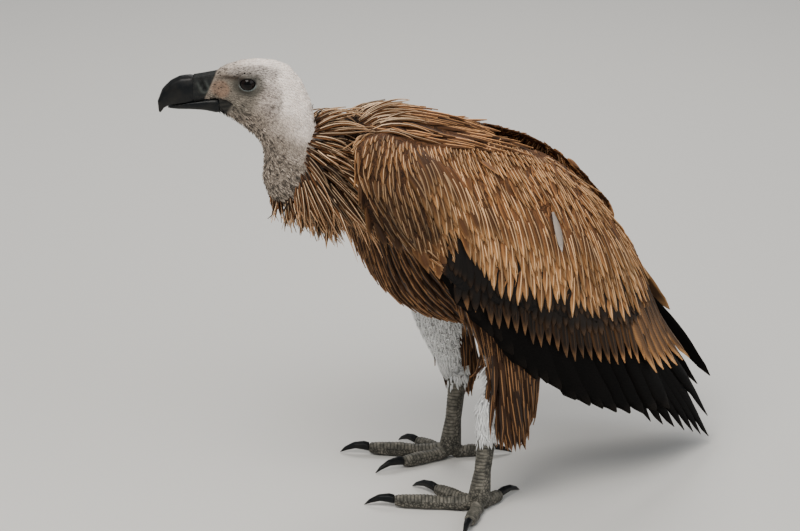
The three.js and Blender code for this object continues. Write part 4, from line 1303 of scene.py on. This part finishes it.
foot_meshes = {}
for side in ("left", "right"):
    nodes = ["shank_" + side] + [f"toe_{toe}_{side}" for toe in TOES]
    mesh = remeshed("foot", gathered(nodes), FOOT_VOXEL, 6)
    places, normals = corners_of(mesh)
    # plates are counted from the foot's middle along each toe, and up the front of the shank
    ankle = np.array(middle("shank_" + side))
    foot_middle = np.array([ankle[0], ankle[1], 0.017])
    along = np.linalg.norm((places - foot_middle)[:, :2], axis=1) / MM
    on_toe = soft(places[:, 2] / MM, *TOE_TOP)
    along = np.where(on_toe > 0.5, along, places[:, 2] / MM)
    forward = soft(normals @ np.array([0.35, -0.94, 0]), 0.3, 0.6)
    plated = np.where(on_toe > 0.5, soft(normals[:, 2], 0.3, 0.6), forward)
    shape = SCUTE_HEIGHT * np.cos(along / SCUTE * math.tau) * plated
    mesh.vertices.foreach_set("co", (places - normals * shape[:, None] * MM).ravel())
    kinds = np.stack([along / SCUTE, plated, 0 * along, 1 + 0 * along], axis=1)
    coloured(mesh, "Plates", kinds)
    foot = put_in_scene("foot_" + side, mesh, foot_skin)
    foot_meshes[side] = mesh
    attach(foot, "root")
    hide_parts(*nodes)
    for toe in TOES:
        claw_node = f"claw_{toe}_{side}"
        claw = put_in_scene("horn_" + claw_node, remeshed("claw", gathered([claw_node]), CLAW_VOXEL, 5), horn)
        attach(claw, "root")
        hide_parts(claw_node)

# ---- Down of the shanks ----
# Short white down runs from the thighs onto the top of each shank.

SHANK_DOWN_ENDS = {"left": 98, "right": 106}    # height of the lowest down
SHANK_ROOM = 0.0024
SHANK_TUFT = (0.011, 0.0021)    # length and half-width
for side, mesh in foot_meshes.items():
    places, normals = candidates(mesh, 0.003)
    height = (places[:, 2] - ORIGIN[2]) / MM
    kept = height > SHANK_DOWN_ENDS[side] + rng.normal(0, 6, len(height))
    places, normals = places[kept], normals[kept]
    directions = laid_flat(np.array([0, 0.1, -1.0]) + rng.normal(0, 0.12, places.shape), normals)
    room = np.full(len(places), SHANK_ROOM)
    picked = spread_out(places, normals, directions, room, room)
    places, normals, directions = places[picked], normals[picked], directions[picked]
    lay_feathers(
        "shank_down_" + side, surface_of(mesh), places, directions,
        (*(np.full(len(places), size) for size in SHANK_TUFT), rng.uniform(0.0008, 0.003, len(places))),
        thigh_flow, np.stack([np.arctan2(normals[:, 0], -normals[:, 1]), places[:, 2]], axis=1),
        tone_of(len(places), 1.0), (white_down,), outline=TUFT, ring=STREAK_RING, sunk=0.0004,
    )

# ---- Down of the head and neck ----
# Short flat tufts of down lie back over the crown and run down the neck. They are crisp white on
# the nape and grow sparse, dark and curled on the face and throat.

HEAD_ROOM = 0.0021


def head_flow(places, normals):
    turn = np.clip((8 - head_axes(places)[0]) / 70, 0, 1)
    back, down = np.cos(turn), np.sin(turn)
    flow = np.outer(back, turn_head @ Vector((0, 1, 0))) + np.outer(down + 0.1, (0, 0, -1))
    return laid_flat(flow, normals)


spots, spot_normals = candidates(head_mesh, HEAD_ROOM)
face = face_parts(spots)
on_side = face["on_side"] > 0.3
bare = on_side & ((face["lids"] < 1.55) | (face["mouth"] < 2) | (face["ear"] < 2.6) | (face["jaw"] > 0.3))
bare |= (face["cere"] > 0.1) | (face["ahead"] > 44)
chosen = np.flatnonzero(~bare)
room = np.full(len(chosen), HEAD_ROOM)
chosen, directions, across, along = tract(chosen, head_flow, room, 1.3 * room)
face = face_parts(spots[chosen])
curled = soft(face["throat"], 2, 24) * soft(face["up"], 0, -25)
short = soft(face["ahead"], 0, 22)
directions = laid_flat(directions + rng.normal(0, 0.1, directions.shape) + curled[:, None]
                       * rng.normal(0, 0.5, directions.shape), spot_normals[chosen])
dark = rng.random(len(chosen)) < 0.34 * curled + 0.12 * short
marks = face_marks(spots[chosen])
head_tuft = head_material("head_down", 0.8, 0.0003)
tuft_tree = head_tuft.node_tree
tuft_colour = tuft_tree.nodes["Principled BSDF"].inputs["Base Color"]
skin_like = tuft_colour.links[0].from_socket
feed(tuft_tree, tuft_colour, shaded(tuft_tree, skin_like, kept_values(tuft_tree, "Feather")[1]))
sizes = (0.0042 * (1 - 0.35 * short) * (1 + 0.3 * curled), 0.0009 + 0.0003 * curled, 0.0007 + 0.0013 * curled)
around = np.arctan2(face["side"], face["up"] + 0.4 * face["ahead"] + 40)
lay_feathers(
    "head_down", head_surface, spots[chosen], directions, sizes, head_flow,
    np.stack([around, face["ahead"] - face["up"]], axis=1),
    tone_of(len(chosen), np.where(dark, 0.35, rng.uniform(0.9, 1.2 + 0.7 * curled, len(chosen)))),
    (head_tuft,), outline=TUFT, ring=STREAK_RING, sunk=0.0003, marks=marks,
)

# ---- Ruff ----
# A collar of long, loose, pointed feathers fans out from the foot of the neck. Its feathers lie
# back over the shoulders, hang down under the throat, and have cream shafts.

RUFF_UP = unit(np.array([0, 0.32, 0.95]))
RUFF_ROWS = 11
RUFF_COUNT = 62
RUFF_FROM = -27                 # the first row's place behind the ruff's middle
RUFF_DEPTH = 68                 # from the first row to the last
RUFF_RADIUS = 29
RUFF_WIDENS = 26                # how much wider the last row is
STRAND_LENGTH = 34              # the shortest, and what is added at the sides and on top
LONGER_AT_SIDES = 84
LONGER_ON_TOP = 9
LONGER_BESIDE_TOP = 22
STRAND_SHAFT = 0.22             # a shaft's share of the strand's half-width
RUFF_SOURCE = np.array([-216, 474])     # the nape, in the side view, that the strands fan out from
TOUCHES = 0.002                 # a strand nearer to the body's skin than this is lifted
CLEARS_BY = 0.004
THROUGH = 0.06                  # how far out of the body the skin is looked for
SWELL = 2.6                     # stations on each side that rise with a lifted one
BREAKS_OUT = 0.016              # a strand that needs more lift to clear the body is left out
WING_MARGIN = 0.006             # no strand grows on a wing, or nearer to it than this
SIDEWAYS = (1, 0, 0)
STRAND = np.array([0.45, 0.8, 1.0, 0.95, 0.8, 0.6, 0.38, 0.18, 0.02])


def bent_spines(roots, start, end, lengths, stations):
    """Free curves that leave their roots along start and end along end."""
    share = np.linspace(0, 1, stations)[None, :, None]
    headings = unit(start[:, None, :] * (1 - share) + end[:, None, :] * share)
    steps = headings[:, :-1] * (lengths / (stations - 1))[:, None, None]
    travelled = np.concatenate([np.zeros((len(roots), 1, 3)), np.cumsum(steps, axis=1)], axis=1)
    return roots[:, None, :] + travelled


def nearest_skin(places):
    """The nearest places on the skin of the body or the neck."""
    found = []
    for here in places:
        options = [surface.find_nearest(Vector(here)) for surface in (body_surface, head_surface)]
        found.append(min(options, key=lambda option: option[3])[0])
    return np.array(found)


def lifted_clear(spines, outward):
    """The curves, raised along outward in one smooth swell where they would pass through the body."""
    lifts = np.zeros(spines.shape[:2])
    for number, spine in enumerate(spines):
        away = Vector(outward[number])
        for station in range(1, len(spine)):
            here = Vector(spine[station])
            found, normal = body_surface.find_nearest(here)[:2]
            if (here - found).dot(normal) < TOUCHES:
                passed = body_surface.ray_cast(here + away * 0.0002, away, THROUGH)
                if passed[0] is not None and passed[1].dot(away) > 0:
                    lifts[number, station] = passed[3] + CLEARS_BY
    stations = np.arange(spines.shape[1])
    swell = np.zeros_like(lifts)
    for station in stations[1:]:
        near = np.exp(-((stations - station) / SWELL) ** 2)
        swell = np.maximum(swell, lifts[:, station, None] * near)
    swell = swell * np.minimum(stations / 2, 1)
    return spines + swell[..., None] * outward[:, None, :], lifts.max(axis=1)


def strands(name, roots, start, end, outward, lengths, half_widths, materials, flat):
    """Loose lances with pale shafts, from their roots, first and last headings and sizes."""
    spines, lifts = lifted_clear(bent_spines(roots, start, end, lengths, len(STRAND)), outward)
    kept = lifts < BREAKS_OUT
    spines, outward, half_widths, flat, roots = (
        values[kept] for values in (spines, outward, half_widths, flat, roots))
    tangents = unit(np.gradient(spines, axis=1))
    normals = laid_flat(np.repeat(outward[:, None, :], len(STRAND), axis=1), tangents)
    widths = half_widths[:, None] * STRAND * rng.uniform(0.85, 1.15, spines.shape[:2])
    thick = 0.0003 + 0.08 * widths
    tones = tone_of(len(roots), 1.0)
    patches = square_of(flat)
    lances = feather_piece(name + "_feathers", spines, normals, widths, thick, VANE_RING, patches, tones,
                           materials[0])
    lay_shafts(name, spines, normals, 0.8 * thick, 1, STRAND_SHAFT * half_widths[:, None] * STRAND[1:],
               patches, tones, materials[1])
    remember(roots, under_colour[materials[0].name], tones)
    return lances


row, number = np.divmod(np.arange(RUFF_ROWS * RUFF_COUNT), RUFF_COUNT)
share = row / (RUFF_ROWS - 1)
angle = (number + 0.5 * (row % 2) + rng.uniform(-0.4, 0.4, len(row))) / RUFF_COUNT * math.tau
set_back = RUFF_FROM + RUFF_DEPTH * share + rng.uniform(-3, 3, len(row))
radius = RUFF_RADIUS + RUFF_WIDENS * share
tall = 1.55 - 0.45 * share
top = np.maximum(np.cos(angle), 0)
low = np.maximum(-np.cos(angle), 0)
beside = np.sin(angle)
outward = RUFF_UP * np.cos(angle)[:, None] + np.outer(beside, SIDEWAYS)
roots = RUFF_AT + (np.outer(np.cos(angle) * tall, RUFF_UP) + np.outer(beside, SIDEWAYS)) * radius[:, None]
roots = roots - np.array([0, 0, 5.0]) - RUFF_AHEAD * set_back[:, None]
roots = (nearest_skin(roots * MM + ORIGIN) - ORIGIN) / MM
fan = unit(roots[:, 1:] - RUFF_SOURCE)
fan = unit(fan + np.stack([0.25 + 0.5 * top, -0.15 - 0.3 * low], axis=1))
clumps = rng.normal(0, 0.15, (RUFF_ROWS, RUFF_COUNT // 3 + 1, 3))[row, number // 3]
lie = np.stack([0.45 * beside, fan[:, 0], fan[:, 1]], axis=1)
lie = unit(lie + clumps + rng.normal(0, 0.08, (len(row), 3)))
bow = rng.normal(0, 0.2, (len(row), 3))
start = unit(lie + outward * (0.55 + 0.25 * rng.random((len(row), 1)) - 0.2 * share[:, None]) + bow)
end = unit(lie + np.array([0, 0.05, -0.22]) - 0.06 * outward - bow)
long_side = soft(np.cos(angle), -0.65, 0.0) * np.abs(beside) * (1 - 0.75 * soft(np.cos(angle), 0.0, 0.4))
short_back = 1 - 0.5 * share * soft(np.cos(angle), -0.1, 0.25) * soft(np.cos(angle), 0.85, 0.6)
lengths = MM * (STRAND_LENGTH + LONGER_AT_SIDES * long_side + LONGER_ON_TOP * top
                + LONGER_BESIDE_TOP * soft(np.cos(angle), 0.6, 0.85))
lengths = lengths * (0.78 + 0.22 * share) * short_back * rng.uniform(0.7, 1.15, len(row))
half_widths = MM * rng.uniform(2.0, 3.8, len(row))
ruff_vane = vane_material("ruff", (0.02, 0.009, 0.004), (0.28, 0.12, 0.045), (0.5, 0.26, 0.12),
                          0.35, 0.6, variation=0.7)
ruff_shaft = shaft_material("ruff_shafts", (0.7, 0.48, 0.29), (0.74, 0.54, 0.35), 0.7)
roots = roots * MM + ORIGIN
nearest = [owner_surface.find_nearest(Vector(root)) for root in roots]
on_wing = owner_of_face[[found[2] for found in nearest]] > 2
kept = ~(on_wing & (np.array([found[3] for found in nearest]) < WING_MARGIN))
ruff = strands("ruff", roots[kept], start[kept], end[kept], outward[kept], lengths[kept], half_widths[kept],
               (ruff_vane, ruff_shaft), np.stack([angle, set_back], axis=1)[kept])
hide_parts("ruff")

# a few thin dark bristles stand out of the nape and the throat
NAPE_BRISTLES = 17
THROAT_BRISTLES = 9
bristle_count = NAPE_BRISTLES + THROAT_BRISTLES
angle = np.concatenate([rng.normal(0, 0.55, NAPE_BRISTLES), rng.normal(math.pi, 0.5, THROAT_BRISTLES)])
up_now = np.cos(angle)[:, None]
outward = RUFF_UP * up_now + np.outer(np.sin(angle), SIDEWAYS)
roots = RUFF_AT + outward * (34, 34, 44) - RUFF_AHEAD * rng.uniform(-28, 14, (bristle_count, 1))
roots = nearest_skin(roots * MM + ORIGIN)
start = unit(outward * (0.9, 0.9, 1) + np.array([0, 0.35, 0.1]) * np.maximum(up_now, 0)
             + np.array([0, -0.5, -0.2]) * np.maximum(-up_now, 0) + rng.normal(0, 0.2, (bristle_count, 3)))
end = unit(start + np.array([0, 0.5, 0.1]) * np.maximum(up_now, 0) + rng.normal(0, 0.25, (bristle_count, 3)))
bristle_vane = vane_material("bristles", (0.03, 0.02, 0.014), (0.05, 0.032, 0.02), (0.09, 0.055, 0.035))
strands("bristle", roots, start, end, outward, MM * rng.uniform(14, 28, bristle_count),
        np.full(bristle_count, 0.0008), (bristle_vane, bristle_vane), np.stack([angle, roots[:, 1]], axis=1))

# ---- Skin markings ----
# The skin under the feathers is dusky and takes the colours of the feathers that root in it, so
# that it shows no bare patch where they part.

root_tree = tree_of(np.concatenate(laid_places))
colours = np.clip(np.concatenate(laid_colours), 0, 1)
skin_colours = np.ones((len(body_mesh.vertices), 4))
for number, corner in enumerate(corners_of(body_mesh)[0]):
    nearest = [found[1] for found in root_tree.find_n(corner, 4)]
    skin_colours[number, :3] = colours[nearest].mean(axis=0)
coloured(body_mesh, "Marks", skin_colours)
skin_material, skin_tree, skin_shader = new_material("skin", 0.8, Specular_IOR_Level=0.2)
skin_marks = node(skin_tree, "ShaderNodeAttribute", attribute_name="Marks")
patchy = ramp(skin_tree, noise(skin_tree, 160.0, 4.0, 0.6), 0.3, 0.75, 0.45, 1.3)
downy_skin = noise(skin_tree, 620.0, 3.0, 0.7)
patchy = sum_of(skin_tree, "MULTIPLY", patchy, ramp(skin_tree, downy_skin, 0.4, 0.62, 0.35, 1.5))
raise_grain(skin_tree, skin_shader, downy_skin, 0.9, 0.0012)
feed(skin_tree, skin_shader.inputs["Base Color"], shaded(skin_tree, skin_marks.outputs["Color"], patchy))
body_mesh.materials.append(skin_material)
